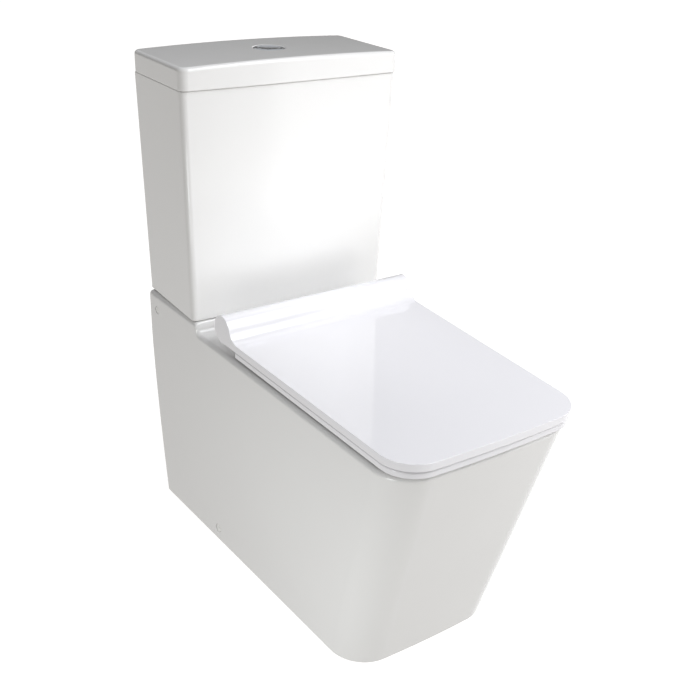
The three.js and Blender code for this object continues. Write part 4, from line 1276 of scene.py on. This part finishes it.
def make_floor():
    """A pale floor that fills the view."""
    bm = bmesh.new()
    bmesh.ops.create_circle(bm, cap_ends=True, radius=40.0, segments=96)
    bmesh.ops.translate(bm, vec=(0, 0, -0.0005), verts=bm.verts)
    floor = object_from(bm, "studio_floor")
    material, tree, shader, place = node_setup("studio_floor")
    shade = tint(tree, noise(tree, place, 0.6), (0.30, 0.30, 0.30), (0.32, 0.32, 0.32))
    tree.links.new(shade, shader.inputs["Base Color"])
    shader.inputs["Roughness"].default_value = 0.9
    shader.inputs["Specular IOR Level"].default_value = 0.1
    shader.inputs["Emission Color"].default_value = (1.0, 0.99, 0.975, 1.0)
    shader.inputs["Emission Strength"].default_value = 0.92
    floor.data.materials.append(material)
    floor.visible_diffuse = False


def make_stage():
    scene = bpy.context.scene
    scene.view_settings.view_transform = "Standard"
    make_camera()
    make_world()
    make_floor()
    soft_box("key", (0.8, -1.25, 2.6), (0.0, 0.0, 0.4), (1.3, 1.3), 37.0, (0.96, 0.975, 1.0))
    soft_box("front", (0.6, -1.1, 1.25), (0.0, 0.1, 0.5), (0.8, 0.7), 6.0, (0.95, 0.97, 1.0))
    soft_box("side", (0.9, -0.62, 0.95), (0.0, 0.18, 0.5), (0.5, 0.5), 1.1, (0.95, 0.97, 1.0))
    soft_box("card", (1.12, -1.0, 0.6), (1.12, 0.0, 0.6), (1.0, 1.2), 4.5, (1.0, 1.0, 1.0))
    fill = soft_box("fill", (-0.95, -0.55, 0.22), (-0.14, -0.27, 0.0), (0.4, 0.3), 1.6, (0.95, 0.985, 1.0))
    fill.data.spread = math.radians(120)
    wash = bpy.data.lights.new("wash", "SPOT")
    wash.energy = 16.0
    wash.color = (0.95, 0.97, 1.0)
    wash.shadow_soft_size = 0.15
    wash.spot_size = math.radians(30)
    wash.spot_blend = 1.0
    spot = bpy.data.objects.new("wash", wash)
    spot.location = (0.15, -0.75, 1.05)
    spot.rotation_euler = (Vector((0.0, 0.18, 0.475)) - spot.location).to_track_quat("-Z", "Y").to_euler()
    spot.visible_glossy = False
    bpy.context.scene.collection.objects.link(spot)


# ================================================================ operators
class TOILET_OT_stage(bpy.types.Operator):
    """Makes the camera, lights, surroundings and floor"""
    bl_idname = "toilet.stage"
    bl_label = "Stage"

    def execute(self, context):
        make_stage()
        return {"FINISHED"}


class TOILET_OT_pan(bpy.types.Operator):
    """Makes the glazed pan with its bowl, trap and skirt"""
    bl_idname = "toilet.pan"
    bl_label = "Pan"

    def execute(self, context):
        make_pan()
        return {"FINISHED"}


class TOILET_OT_tank(bpy.types.Operator):
    """Makes the glazed cistern"""
    bl_idname = "toilet.tank"
    bl_label = "Cistern"

    def execute(self, context):
        make_tank()
        return {"FINISHED"}


class TOILET_OT_cover(bpy.types.Operator):
    """Makes the crowned lid of the cistern"""
    bl_idname = "toilet.cover"
    bl_label = "Cistern lid"

    def execute(self, context):
        make_cover()
        return {"FINISHED"}


class TOILET_OT_buttons(bpy.types.Operator):
    """Makes the plated surround and both halves of the button"""
    bl_idname = "toilet.buttons"
    bl_label = "Flush buttons"

    def execute(self, context):
        make_bezel()
        make_button(1, "full")
        make_button(-1, "half")
        return {"FINISHED"}


class TOILET_OT_seat(bpy.types.Operator):
    """Makes the seat ring and its lid"""
    bl_idname = "toilet.seat"
    bl_label = "Seat"

    def execute(self, context):
        make_ring()
        make_lid()
        return {"FINISHED"}


class TOILET_OT_fixings(bpy.types.Operator):
    """Makes the side caps, screws and floor brackets"""
    bl_idname = "toilet.fixings"
    bl_label = "Pan fixings"

    def execute(self, context):
        make_caps()
        make_floor_fixings()
        return {"FINISHED"}


class TOILET_OT_coupling(bpy.types.Operator):
    """Makes the gasket, bolts, seals, washers and wing nuts"""
    bl_idname = "toilet.coupling"
    bl_label = "Coupling"

    def execute(self, context):
        make_coupling()
        return {"FINISHED"}


class TOILET_OT_flush_valve(bpy.types.Operator):
    """Makes the flush valve, its overflow, plungers and push rods"""
    bl_idname = "toilet.flush_valve"
    bl_label = "Flush valve"

    def execute(self, context):
        make_flush_valve()
        return {"FINISHED"}


class TOILET_OT_fill_valve(bpy.types.Operator):
    """Makes the fill valve with its lever and float"""
    bl_idname = "toilet.fill_valve"
    bl_label = "Fill valve"

    def execute(self, context):
        make_fill_valve()
        return {"FINISHED"}


class TOILET_OT_hinges(bpy.types.Operator):
    """Makes the hinge posts, pins, bolts and plugs"""
    bl_idname = "toilet.hinges"
    bl_label = "Seat hinges"

    def execute(self, context):
        make_hinges()
        return {"FINISHED"}


class TOILET_OT_pads(bpy.types.Operator):
    """Makes the soft pads under the seat ring and the lid"""
    bl_idname = "toilet.pads"
    bl_label = "Buffers"

    def execute(self, context):
        make_pads()
        return {"FINISHED"}


OPERATORS = [
    TOILET_OT_stage,
    TOILET_OT_pan,
    TOILET_OT_tank,
    TOILET_OT_cover,
    TOILET_OT_buttons,
    TOILET_OT_seat,
    TOILET_OT_fixings,
    TOILET_OT_coupling,
    TOILET_OT_flush_valve,
    TOILET_OT_fill_valve,
    TOILET_OT_hinges,
    TOILET_OT_pads,
]


class TOILET_PT_panel(bpy.types.Panel):
    """Lists the toilet's steps and sizes"""
    bl_label = "Toilet"
    bl_idname = "TOILET_PT_panel"
    bl_space_type = "VIEW_3D"
    bl_region_type = "UI"
    bl_category = "Toilet"

    def draw(self, context):
        for name in ToiletSettings.__annotations__:
            self.layout.prop(context.scene.toilet_settings, name)
        for operator in OPERATORS:
            self.layout.operator(operator.bl_idname)


CLASSES = [ToiletSettings, *OPERATORS, TOILET_PT_panel]


def register():
    for item in CLASSES:
        bpy.utils.register_class(item)
    bpy.types.Scene.toilet_settings = bpy.props.PointerProperty(type=ToiletSettings)


def unregister():
    del bpy.types.Scene.toilet_settings
    for item in reversed(CLASSES):
        bpy.utils.unregister_class(item)


def main():
    register()
    for operator in OPERATORS:
        group, name = operator.bl_idname.split(".")
        getattr(getattr(bpy.ops, group), name)()


if __name__ == "__main__":
    main()
